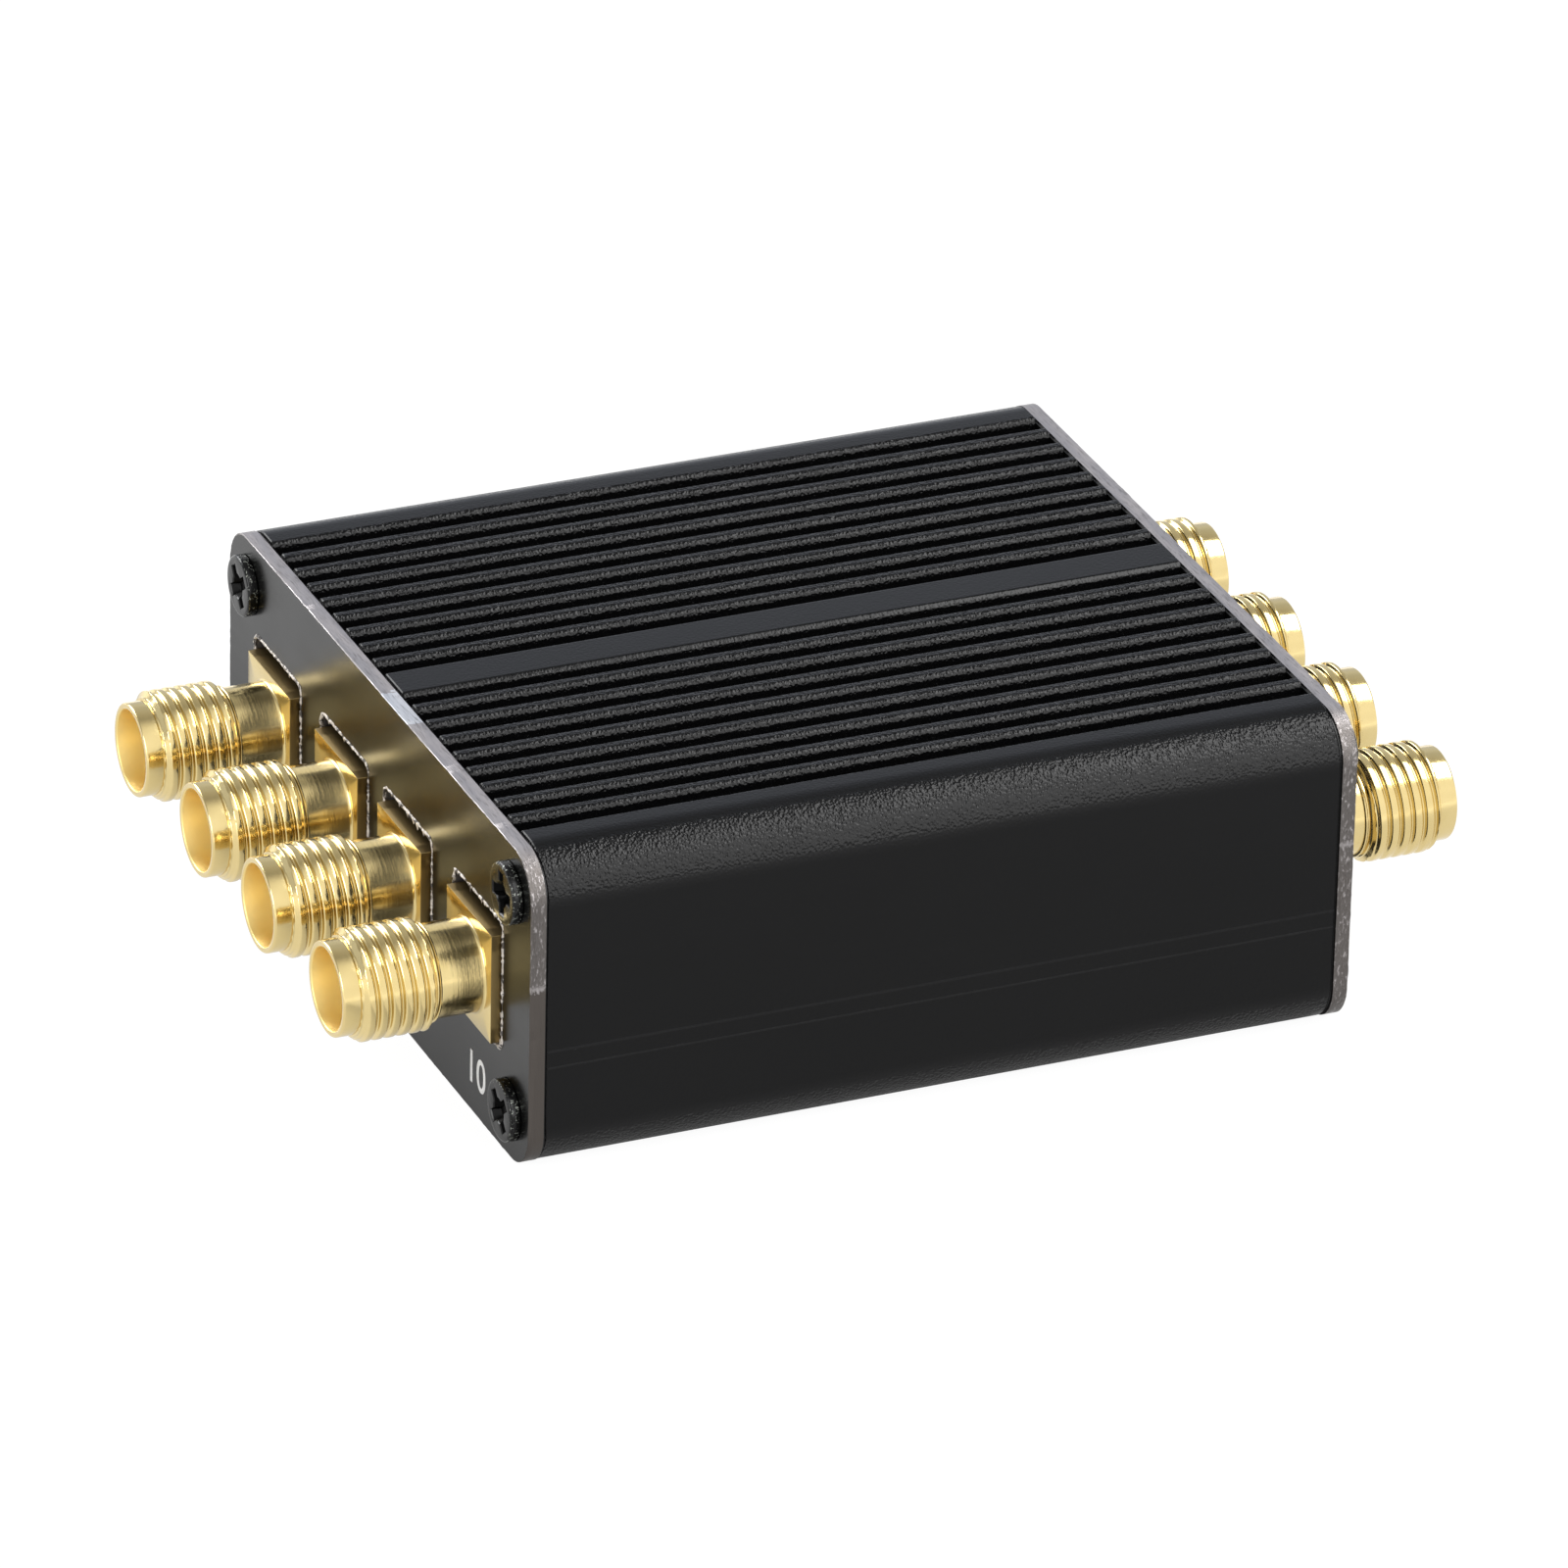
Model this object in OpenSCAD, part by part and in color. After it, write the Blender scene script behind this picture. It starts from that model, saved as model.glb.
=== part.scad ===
// Four-channel RF filter in a finned extruded case, with four coaxial jacks on each end panel.
// Millimetres, +Z up. The origin is at the middle of the case's flat underside.
// The case runs along X. The front panel is at -X and the rear panel at +X.

/* [Case] */
// Width across the side faces
case_w = 45; // [44:0.5:60]
// Height from the underside to the tops of the fins
case_h = 19; // [18:0.5:26]
// Length of the extrusion between the panels
case_l = 46.2; // [36:0.1:90]
// Radius of the four long outer corners
case_corner_r = 3; // [1.5:0.1:3.5]
// Thickness of the side walls
side_wall = 2; // [1.6:0.1:3]
// Thickness of the floor
floor_wall = 1.8; // [1.2:0.1:2.5]
// Thickness left between the groove floors and the cavity
roof_wall = 1.6; // [1:0.1:2.5]

/* [Fins] */
// Distance from one fin to the next
fin_pitch = 1.98; // [1.8:0.01:2.1]
// Thickness of a fin
fin_t = 0.95; // [0.9:0.05:1.1]
// Depth of the grooves between the fins
groove_depth = 1; // [0.5:0.1:1.2]
// Radius of the top edges of the fins and bands
fin_edge_r = 0.44; // [0.1:0.02:0.44]
// Width of the flat band in the middle
centre_band_w = 2.95; // [1.5:0.05:5]
// Least width of the band beside each outer corner. Fins fill the room that is left.
side_band_min = 4; // [4:0.1:8]

/* [Screw channels and board slots] */
// Distance of each panel screw from the panel's edges
screw_inset = 2.8; // [2.6:0.1:3.2]
// Radial gap between a screw's shank and the bore of its channel
channel_gap = 0.05; // [0.02:0.01:0.1]
// Wall of the boss round a screw channel
channel_wall = 0.95; // [0.7:0.05:1.1]
// Width of the slit that opens a screw channel to the cavity
channel_slit = 0.8; // [0.4:0.1:0.9]
// Depth of the slots that hold the board's long edges
slot_depth = 0.9; // [0.6:0.1:1.1]
// Play above the board in its slots
slot_play = 0.2; // [0.1:0.05:0.4]

/* [End panels] */
// Thickness of an end panel
panel_t = 1; // [0.8:0.1:2]
// How far the panel's top and bottom edges lie inside the case's
panel_drop = 0.17; // [0:0.01:0.3]
// Radius of the panel's outer corners
panel_corner_r = 2.5; // [1.2:0.1:3]
// Width and depth of the step round the panel's seating face
panel_step = 0.12; // [0.05:0.01:0.2]
// Gap round the jack's flange at the sides and below
cutout_gap = 0.25; // [0.15:0.05:0.4]
// Gap above the jack's flange
cutout_gap_top = 0.75; // [0.15:0.05:1]
// Corner radius of the cut-outs
cutout_r = 0.45; // [0.2:0.05:0.8]

/* [Panel screws] */
// Diameter of a screw's head
head_d = 3.5; // [3:0.1:4]
// Height of a screw's head
head_h = 0.6; // [0.5:0.05:1.3]
// Height of the head's straight rim, below its rounded edge
head_rim_h = 0.42; // [0.2:0.02:0.44]
// Diameter of the screw's shank
shank_d = 2; // [1.6:0.05:2.2]
// Length of a screw below its head
screw_l = 7; // [4:0.5:9]
// Length of the taper at a screw's tip
screw_tip_l = 0.8; // [0.4:0.1:1.2]
// Radial gap round the shank in the panel
screw_gap = 0.3; // [0.1:0.05:0.4]
// Length of each bar of the cross recess
recess_l = 2.6; // [1.4:0.1:2.6]
// Width of each bar of the cross recess
recess_w = 0.6; // [0.3:0.05:0.7]
// Depth of the cross recess
recess_depth = 0.4; // [0.2:0.05:0.45]

/* [Jack shells] */
// Distance of the inner jacks from the middle of the panel
jack_y_inner = 4.73; // [4.2:0.01:5]
// Distance of the outer jacks from the middle of the panel
jack_y_outer = 15; // [14:0.05:15.5]
// Height of the jacks' axes above the underside
jack_z = 9.5; // [9:0.1:12]
// Side of the square flange
flange_w = 6.5; // [6:0.05:6.6]
// Thickness of the flange
flange_t = 1.6; // [1.2:0.1:2]
// Wall of the plain barrel round the insulator
barrel_wall = 0.54; // [0.4:0.02:0.7]
// Length of the plain barrel
barrel_l = 2.58; // [1.5:0.02:4]
// Diameter over the thread
thread_d = 6.25; // [6:0.01:6.35]
// Length of the threaded part with its end chamfers
thread_l = 4.6; // [3:0.1:6]
// Length of the chamfer at each end of the thread
thread_chamfer = 0.3; // [0.1:0.05:0.4]
// Wall of the plain collar in front of the thread, round the open mouth
collar_wall = 0.35; // [0.3:0.01:0.6]
// Length of the collar
collar_l = 0.97; // [0.5:0.01:1.5]
// Chamfer of the collar's lip, outside and inside
lip_chamfer = 0.12; // [0.05:0.01:0.2]
// Diameter of the open mouth
mouth_d = 4.6; // [4.5:0.01:4.7]
// Depth of the mouth down to the insulator
mouth_depth = 1.9; // [1.7:0.05:2.1]
// Side of a leg's square section
leg_w = 1; // [0.7:0.05:1.1]
// Length of the legs behind the flange
leg_l = 4.5; // [2:0.1:6]
// Distance from the flange's side edges in to the legs
leg_inset = 0.1; // [0:0.05:0.3]

/* [Jack insulators and contacts] */
// Diameter of the insulator
insulator_d = 4.1; // [3.6:0.05:4.3]
// Radial gap between shell and insulator, and between insulator and contact
sleeve_gap = 0.01; // [0.005:0.005:0.03]
// Diameter of the centre contact's socket
contact_d = 1.27; // [1.2:0.01:1.4]
// Diameter of the socket's bore
socket_d = 0.95; // [0.92:0.01:1]
// Depth of the socket's bore
socket_depth = 3; // [2:0.1:4]
// Width of the socket's slots
socket_slot_w = 0.15; // [0.1:0.01:0.2]
// Length of the socket's slots
socket_slot_l = 2.2; // [1:0.1:2.8]
// Diameter of the pin at the contact's rear
pin_d = 0.8; // [0.6:0.05:1]
// Length of that pin behind the flange
pin_l = 2.5; // [1.5:0.1:3.5]

/* [Circuit board] */
// Thickness of the board
board_t = 1.6; // [0.8:0.1:1.6]
// How far the board's ends lie inside the case's ends
board_setback = 0.08; // [0:0.02:0.3]
// Play at each long edge of the board in its slot
board_side_gap = 0.1; // [0.05:0.05:0.3]
// Gap between the contacts' pins and the board
solder_gap = 0.02; // [0.01:0.01:0.1]

/* [Filter parts] */
// Length of an inductor
inductor_l = 2; // [1.6:0.1:2.5]
// Width of an inductor
inductor_w = 1.25; // [0.8:0.05:1.6]
// Height of an inductor
inductor_h = 1.2; // [0.8:0.05:1.6]
// Length of a capacitor
capacitor_l = 1.6; // [1:0.1:2]
// Width of a capacitor
capacitor_w = 0.8; // [0.5:0.05:1.25]
// Height of a capacitor
capacitor_h = 0.8; // [0.5:0.05:1.2]
// Length of the metal cap at each end of a part
cap_l = 0.35; // [0.2:0.05:0.5]
// How far the metal caps stand out round a part
cap_t = 0.03; // [0.02:0.01:0.08]
// Distance of a channel's series capacitors from its middle
series_capacitor_x = 6; // [4:0.5:7]
// Distance of a channel's series inductors from its middle
series_inductor_x = 10; // [9.5:0.5:12]
// Distance of a channel's middle parts from its centre line
shunt_offset = 1.8; // [1.5:0.1:2.2]

/* [Hidden] */

// Cuts run past the faces they open by this much
cut = 0.5;
// Straight pieces in a quarter turn of a case corner, and of a small rounded edge
corner_steps = 12;
edge_steps = 5;
round_fn = 64;

// Where the fins and the bands beside them lie
groove_w = fin_pitch - fin_t;
first_fin_y = centre_band_w / 2 + groove_w + fin_t / 2;
fins_per_side = floor((case_w / 2 - side_band_min - centre_band_w / 2 - groove_w) / fin_pitch);
side_band_y = centre_band_w / 2 + groove_w + fins_per_side * fin_pitch;
groove_floor_z = case_h - groove_depth;

// The cavity, and the screw channels in its corners
cavity_w = case_w - 2 * side_wall;
cavity_top_z = groove_floor_z - roof_wall;
screw_y = case_w / 2 - screw_inset;
screw_low_z = panel_drop + screw_inset;
screw_high_z = case_h - panel_drop - screw_inset;
channel_bore_d = shank_d + 2 * channel_gap;
channel_boss_d = channel_bore_d + 2 * channel_wall;

// Planes across X, counted out from the middle of the case
case_end_x = case_l / 2;
panel_face_x = case_end_x + panel_t;
flange_back_x = case_end_x - board_setback;
flange_face_x = flange_back_x + flange_t;
jack_tip_x = flange_face_x + barrel_l + thread_l + collar_l;
insulator_face_x = jack_tip_x - mouth_depth;
jack_ys = [-jack_y_outer, -jack_y_inner, jack_y_inner, jack_y_outer];

// Radii of a jack's shell
bore_r = insulator_d / 2 + sleeve_gap;
barrel_r = bore_r + barrel_wall;
collar_r = mouth_d / 2 + collar_wall;

// The cut-outs and the screws' shanks in the panels
cutout_w = flange_w + 2 * cutout_gap;
cutout_h = flange_w + cutout_gap + cutout_gap_top;
cutout_z = jack_z + (cutout_gap_top - cutout_gap) / 2;
screw_hole_d = shank_d + 2 * screw_gap;

// The board lies under the contacts' pins, in slots in the side walls
board_top_z = jack_z - pin_d / 2 - solder_gap;
board_low_z = board_top_z - board_t;
board_w = cavity_w + 2 * (slot_depth - board_side_gap);
board_l = 2 * flange_back_x;

// Points of an arc from angle a0 to a1 round (cx, cy), both ends included
function arc(cx, cy, r, a0, a1, steps) =
    [for (i = [0:steps]) let (a = a0 + (a1 - a0) * i / steps) [cx + r * cos(a), cy + r * sin(a)]];

// Rounded rectangle of width w between heights z0 and z1, counterclockwise
function rounded_outline(w, z0, z1, r, steps) = concat(
    arc(w / 2 - r, z0 + r, r, -90, 0, steps),
    arc(w / 2 - r, z1 - r, r, 0, 90, steps),
    arc(-w / 2 + r, z1 - r, r, 90, 180, steps),
    arc(-w / 2 + r, z0 + r, r, 180, 270, steps));

// One edge of a fin or band, from the groove floor up or back down to it
function edge_up(y) = concat([[y, groove_floor_z]],
    arc(y - fin_edge_r, case_h - fin_edge_r, fin_edge_r, 0, 90, edge_steps));
function edge_down(y) = concat(
    arc(y + fin_edge_r, case_h - fin_edge_r, fin_edge_r, 90, 180, edge_steps),
    [[y, groove_floor_z]]);
function fin_points(y) = concat(edge_up(y + fin_t / 2), edge_down(y - fin_t / 2));

// Points along the finned top from one side band to the other, running towards -Y
function fin_row(first_y, step) =
    [for (i = [0:fins_per_side - 1]) each fin_points(first_y + i * step)];
function top_points() = concat(
    edge_down(side_band_y),
    fin_row(first_fin_y + (fins_per_side - 1) * fin_pitch, -fin_pitch),
    edge_up(centre_band_w / 2), edge_down(-centre_band_w / 2),
    fin_row(-first_fin_y, -fin_pitch),
    edge_up(-side_band_y));

function case_outline() = concat(
    arc(case_w / 2 - case_corner_r, case_corner_r, case_corner_r, -90, 0, corner_steps),
    arc(case_w / 2 - case_corner_r, case_h - case_corner_r, case_corner_r, 0, 90, corner_steps),
    top_points(),
    arc(-case_w / 2 + case_corner_r, case_h - case_corner_r, case_corner_r, 90, 180, corner_steps),
    arc(-case_w / 2 + case_corner_r, case_corner_r, case_corner_r, 180, 270, corner_steps));

// Extrudes a section drawn in Y and Z along X, from x0 over length l
module along_x(x0, l) {
    translate([x0, 0, 0]) rotate([90, 0, 90]) linear_extrude(l) children();
}

module at_screws() {
    for (y = [-screw_y, screw_y], z = [screw_low_z, screw_high_z]) translate([y, z]) children();
}

// The section of the extrusion: finned outline, cavity, board slots and screw channels
module case_section() {
    slot_w = cavity_w + 2 * slot_depth;
    difference() {
        union() {
            difference() {
                polygon(case_outline());
                translate([-cavity_w / 2, floor_wall]) square([cavity_w, cavity_top_z - floor_wall]);
                translate([-slot_w / 2, board_low_z]) square([slot_w, board_t + slot_play]);
            }
            intersection() {
                at_screws() circle(d = channel_boss_d, $fn = round_fn);
                translate([-case_w / 2 + side_wall / 2, floor_wall / 2])
                    square([case_w - side_wall, groove_floor_z - roof_wall / 2 - floor_wall / 2]);
            }
        }
        at_screws() circle(d = channel_bore_d, $fn = round_fn);
        for (side = [-1, 1], z = [screw_low_z, screw_high_z])
            translate([side * (screw_y - channel_boss_d / 2), z])
                square([channel_boss_d, channel_slit], center = true);
    }
}

module case() {
    color("dimgray") along_x(-case_end_x, case_l) case_section();
}

// The panel's outline, drawn in by inset all round
module panel_outline(inset) {
    polygon(rounded_outline(case_w - 2 * inset, panel_drop + inset, case_h - panel_drop - inset,
        panel_corner_r - inset, corner_steps));
}

module panel_openings() {
    for (y = jack_ys) translate([y, 0])
        polygon(rounded_outline(cutout_w, cutout_z - cutout_h / 2, cutout_z + cutout_h / 2,
            cutout_r, edge_steps));
    at_screws() circle(d = screw_hole_d, $fn = round_fn);
}

// An end panel at +X: its face layer, and a seating layer that is stepped in all round
module end_panel() {
    difference() {
        union() {
            along_x(case_end_x + panel_step, panel_t - panel_step) panel_outline(0);
            along_x(case_end_x, panel_t - panel_step) panel_outline(panel_step);
        }
        along_x(case_end_x - cut, panel_t + 2 * cut) panel_openings();
    }
}

module front_panel() {
    color("gray") mirror([1, 0, 0]) end_panel();
}

module rear_panel() {
    color("gray") end_panel();
}

// A pan-head screw along +Z, with its head's seat at z = 0
module panel_screw() {
    round_h = head_h - head_rim_h;
    head_edge = [for (i = [0:edge_steps]) let (a = 90 * i / edge_steps)
        [head_d / 2 - round_h * (1 - cos(a)), head_rim_h + round_h * sin(a)]];
    difference() {
        rotate_extrude($fn = round_fn) polygon(concat(
            [[0, -screw_l], [(shank_d - screw_tip_l) / 2, -screw_l], [shank_d / 2, screw_tip_l - screw_l],
                [shank_d / 2, 0], [head_d / 2, 0]],
            head_edge, [[0, head_h]]));
        for (turn = [0, 90]) rotate([0, 0, turn]) translate([0, 0, head_h - recess_depth])
            translate([-recess_l / 2, -recess_w / 2, 0]) cube([recess_l, recess_w, recess_depth + cut]);
    }
}

module panel_screws() {
    color("black") for (end = [-1, 1], y = [-screw_y, screw_y], z = [screw_low_z, screw_high_z])
        translate([end * panel_face_x, y, z]) rotate([0, end * 90, 0]) panel_screw();
}

// Places a jack part that is drawn along +Z, with z as the distance from the case's middle and
// its top towards +X. Jacks 1 to 4 are on the front panel from -Y to +Y, and jacks 5 to 8 face
// them on the rear panel.
module at_jack(n) {
    front = n <= 4;
    translate([0, jack_ys[(n - 1) % 4], jack_z]) mirror([front ? 0 : 1, 0, 0])
        rotate([0, -90, 0]) children();
}

// Half section of the barrel, thread and collar, solid to the axis
module nose_profile() {
    thread_start = flange_face_x + barrel_l;
    thread_end = thread_start + thread_l;
    polygon([
        [0, flange_face_x - flange_t / 2],
        [barrel_r, flange_face_x - flange_t / 2],
        [barrel_r, thread_start],
        [thread_d / 2, thread_start + thread_chamfer],
        [thread_d / 2, thread_end - thread_chamfer],
        [collar_r, thread_end],
        [collar_r, jack_tip_x - lip_chamfer],
        [collar_r - lip_chamfer, jack_tip_x],
        [0, jack_tip_x],
    ]);
}

// Half section of the hollow: the insulator's bore, then the open mouth with its chamfered lip
module hollow_profile() {
    polygon([
        [0, flange_back_x - cut],
        [bore_r, flange_back_x - cut],
        [bore_r, insulator_face_x],
        [mouth_d / 2, insulator_face_x],
        [mouth_d / 2, jack_tip_x - lip_chamfer],
        [mouth_d / 2 + lip_chamfer + cut, jack_tip_x + cut],
        [0, jack_tip_x + cut],
    ]);
}

// The four legs take the board's edge between them, so their inner faces lie on its two faces
module legs() {
    leg_y = flange_w / 2 - leg_inset - leg_w / 2;
    for (side = [-1, 1], z = [board_top_z, board_low_z - leg_w])
        translate([z - jack_z, side * leg_y - leg_w / 2, flange_back_x - leg_l])
            cube([leg_w, leg_w, leg_l]);
}

module jack_shell(n) {
    color("gold") at_jack(n) {
        difference() {
            union() {
                rotate_extrude($fn = round_fn) nose_profile();
                translate([-flange_w / 2, -flange_w / 2, flange_back_x])
                    cube([flange_w, flange_w, flange_t]);
            }
            rotate_extrude($fn = round_fn) hollow_profile();
        }
        legs();
    }
}

module jack_insulator(n) {
    length = insulator_face_x - flange_back_x;
    color("white") at_jack(n) translate([0, 0, flange_back_x]) difference() {
        cylinder(d = insulator_d, h = length, $fn = round_fn);
        translate([0, 0, -cut])
            cylinder(d = contact_d + 2 * sleeve_gap, h = length + 2 * cut, $fn = round_fn);
    }
}

// Centre contact: a slotted socket that ends level with the insulator, and a thinner rear pin
module jack_contact(n) {
    color("gold") at_jack(n) difference() {
        union() {
            translate([0, 0, flange_back_x])
                cylinder(d = contact_d, h = insulator_face_x - flange_back_x, $fn = round_fn);
            translate([0, 0, flange_back_x - pin_l]) cylinder(d = pin_d, h = pin_l + cut, $fn = round_fn);
        }
        translate([0, 0, insulator_face_x - socket_depth])
            cylinder(d = socket_d, h = socket_depth + cut, $fn = round_fn);
        for (turn = [0, 90]) rotate([0, 0, turn])
            translate([-contact_d, -socket_slot_w / 2, insulator_face_x - socket_slot_l])
                cube([2 * contact_d, socket_slot_w, socket_slot_l + cut]);
    }
}

module circuit_board() {
    color("darkgreen") translate([-board_l / 2, -board_w / 2, board_low_z])
        cube([board_l, board_w, board_t]);
}

// A chip part of length l along X, standing on the board: a body with a metal cap at each end
module chip(l, w, h) {
    translate([-l / 2 + cap_t, -w / 2 + cap_t, cap_t]) cube([l - 2 * cap_t, w - 2 * cap_t, h - 2 * cap_t]);
    for (side = [-1, 1])
        translate([side * (l - cap_l) / 2, 0, h / 2]) cube([cap_l, w, h], center = true);
}

// Channel n is a three-section filter on the line between two facing jacks: a series pair at
// each end and a pair to ground in the middle. Each pair is an inductor and a capacitor.
module at_channel(n, x, y) {
    translate([x, jack_ys[n - 1] + y, board_top_z]) children();
}

module channel_inductors(n) {
    color("saddlebrown") {
        for (side = [-1, 1])
            at_channel(n, side * series_inductor_x, 0) chip(inductor_l, inductor_w, inductor_h);
        at_channel(n, 0, shunt_offset) rotate([0, 0, 90]) chip(inductor_l, inductor_w, inductor_h);
    }
}

module channel_capacitors(n) {
    color("tan") {
        for (side = [-1, 1])
            at_channel(n, side * series_capacitor_x, 0) chip(capacitor_l, capacitor_w, capacitor_h);
        at_channel(n, 0, -shunt_offset) rotate([0, 0, 90]) chip(capacitor_l, capacitor_w, capacitor_h);
    }
}

case();
front_panel();
rear_panel();
panel_screws();
for (n = [1:8]) {
    jack_shell(n);
    jack_insulator(n);
    jack_contact(n);
}
circuit_board();
for (n = [1:4]) {
    channel_inductors(n);
    channel_capacitors(n);
}
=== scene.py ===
import math
import random

import bmesh
import bpy
from mathutils import Matrix, Vector


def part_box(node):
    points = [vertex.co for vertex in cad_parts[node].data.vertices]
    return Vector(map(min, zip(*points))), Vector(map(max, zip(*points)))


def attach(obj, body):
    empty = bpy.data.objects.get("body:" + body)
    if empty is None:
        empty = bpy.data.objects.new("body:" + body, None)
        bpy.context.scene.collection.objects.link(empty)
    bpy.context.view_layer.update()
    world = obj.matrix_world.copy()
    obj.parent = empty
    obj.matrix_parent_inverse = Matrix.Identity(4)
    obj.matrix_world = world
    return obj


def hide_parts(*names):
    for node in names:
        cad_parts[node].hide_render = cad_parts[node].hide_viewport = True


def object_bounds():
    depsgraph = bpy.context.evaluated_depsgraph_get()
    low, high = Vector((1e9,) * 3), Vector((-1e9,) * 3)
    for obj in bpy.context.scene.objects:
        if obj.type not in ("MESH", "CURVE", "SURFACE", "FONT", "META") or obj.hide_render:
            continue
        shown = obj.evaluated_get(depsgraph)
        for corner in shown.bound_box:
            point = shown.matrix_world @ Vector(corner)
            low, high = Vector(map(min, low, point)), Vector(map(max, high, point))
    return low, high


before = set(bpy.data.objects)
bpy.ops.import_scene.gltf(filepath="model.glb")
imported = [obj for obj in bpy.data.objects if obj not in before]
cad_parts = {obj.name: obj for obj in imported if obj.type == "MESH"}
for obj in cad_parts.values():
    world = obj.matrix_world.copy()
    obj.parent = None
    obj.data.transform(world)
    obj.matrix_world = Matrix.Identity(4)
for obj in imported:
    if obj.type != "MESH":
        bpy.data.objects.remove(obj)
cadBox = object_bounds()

scene = bpy.context.scene
mm = 0.001
print("frame loaded:", len(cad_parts), "CAD nodes")


# Shader helpers
def put(tree, socket, value):  # a link where the value is a socket, or else a fixed value or colour
    if isinstance(value, bpy.types.NodeSocket):
        tree.links.new(value, socket)
    else:
        socket.default_value = (*value, 1.0) if socket.type == "RGBA" else value


def node(tree, kind, inputs=None, **settings):
    made = tree.nodes.new(kind)
    for key, value in settings.items():
        setattr(made, key, value)
    for key, value in (inputs or {}).items():
        put(tree, made.inputs[key], value)
    return made


def calc(tree, operation, *values):
    made = node(tree, "ShaderNodeMath", operation=operation)
    for i, value in enumerate(values):
        put(tree, made.inputs[i], value)
    return made.outputs[0]


def times(tree, product, *others):
    for other in others:
        product = calc(tree, "MULTIPLY", product, other)
    return product


def remap(tree, value, low, high):  # smoothly from 0 at low to 1 at high
    inputs = {"Value": value, "From Min": low, "From Max": high, "To Min": 0.0, "To Max": 1.0}
    return node(tree, "ShaderNodeMapRange", inputs, interpolation_type="SMOOTHSTEP").outputs[0]


def mixColour(tree, factor, first, second, most=1.0):  # second shows at most so much
    if most < 1:
        factor = times(tree, factor, most)
    made = node(tree, "ShaderNodeMix", data_type="RGBA")
    for i, value in ((0, factor), (6, first), (7, second)):
        put(tree, made.inputs[i], value)
    return made.outputs[2]


def fromAxis(tree, x, y):
    return calc(tree, "SQRT", calc(tree, "ADD", times(tree, x, x), times(tree, y, y)))


def noise(tree, spot, detail, roughness=0.5, scale=1.0):
    inputs = {"Vector": spot, "Scale": scale, "Detail": detail, "Roughness": roughness}
    return node(tree, "ShaderNodeTexNoise", inputs).outputs["Fac"]


def newGroup(name, inputs, outputs):
    tree = bpy.data.node_groups.new(name, "ShaderNodeTree")
    for label, value in {"Vector": (0.0, 0.0, 0.0), **inputs}.items():
        kind = "NodeSocketVector" if isinstance(value, tuple) else "NodeSocketFloat"
        socket = tree.interface.new_socket(label, in_out="INPUT", socket_type=kind)
        socket.default_value = value
    for label in outputs:
        tree.interface.new_socket(label, in_out="OUTPUT", socket_type="NodeSocketFloat")
    return tree, tree.nodes.new("NodeGroupInput").outputs, tree.nodes.new("NodeGroupOutput").inputs


def useGroup(tree, group, spot, **inputs):
    return node(tree, "ShaderNodeGroup", {"Vector": spot, **inputs}, node_tree=group).outputs


def inCells(tree, given, label):  # the group's Vector, counted in cells of the size that an input gives
    perCell = calc(tree, "DIVIDE", 1.0, given[label])
    inputs = {0: given["Vector"], "Scale": perCell}
    return node(tree, "ShaderNodeVectorMath", inputs, operation="SCALE").outputs[0]


# Effects that several materials share. Sizes are in metres.
def makeGrain():  # blasted grain: rounded pits with a finer noise on them
    tree, given, out = newGroup("blastedGrain", {"Cell": 0.00015}, ("Height",))
    spot = inCells(tree, given, "Cell")
    cells = node(tree, "ShaderNodeTexVoronoi", {"Vector": spot, "Scale": 1.0, "Randomness": 1.0})
    pits = remap(tree, cells.outputs["Distance"], 0.0, 0.75)
    fine = noise(tree, spot, 1.0, 0.4, 1.1)
    put(tree, out["Height"], calc(tree, "MULTIPLY_ADD", fine, 0.9, times(tree, pits, 0.6)))
    return tree


def makeStreaks():  # lines drawn out along one direction, by a Stretch in cells per metre
    tree, given, out = newGroup("drawnStreaks", {"Stretch": (1.0, 1.0, 1.0)}, ("Height", "Broad"))
    inputs = {0: given["Vector"], 1: given["Stretch"]}
    spot = node(tree, "ShaderNodeVectorMath", inputs, operation="MULTIPLY").outputs[0]
    put(tree, out["Height"], noise(tree, spot, 4.0, 0.65))
    put(tree, out["Broad"], remap(tree, noise(tree, spot, 1.0, scale=0.23), 0.3, 0.7))
    return tree


def makeSpecks():  # sparse round dust specks or nicks
    tree, given, out = newGroup("specks", {"Spacing": 0.002, "Radius": 0.00005, "Amount": 0.1}, ("Mask",))
    spot = inCells(tree, given, "Spacing")
    cells = node(tree, "ShaderNodeTexVoronoi", {"Vector": spot, "Scale": 1.0, "Randomness": 1.0})
    split = node(tree, "ShaderNodeSeparateColor", {0: cells.outputs["Color"]})
    chosen = calc(tree, "LESS_THAN", split.outputs[0], given["Amount"])
    size = times(tree, given["Radius"], calc(tree, "MULTIPLY_ADD", split.outputs[1], 1.2, 0.4))
    away = times(tree, cells.outputs["Distance"], given["Spacing"])
    put(tree, out["Mask"], times(tree, chosen, calc(tree, "LESS_THAN", away, size)))
    return tree


def makeBlotches():  # slow uneven patches
    tree, given, out = newGroup("blotches", {"Size": 0.005, "Detail": 2.0}, ("Value",))
    patch = noise(tree, inCells(tree, given, "Size"), given["Detail"], 0.55)
    put(tree, out["Value"], remap(tree, patch, 0.32, 0.68))
    return tree


def makeRub():  # ragged rubbed patches where Edge nears 1
    tree, given, out = newGroup("rubbedEdge", {"Edge": 0.0, "Size": 0.0003, "Amount": 0.5}, ("Mask",))
    ragged = noise(tree, inCells(tree, given, "Size"), 4.0, 0.7)
    reach = calc(tree, "ADD", times(tree, given["Edge"], given["Amount"]), ragged)
    put(tree, out["Mask"], remap(tree, reach, 0.93, 1.0))
    return tree


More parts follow.
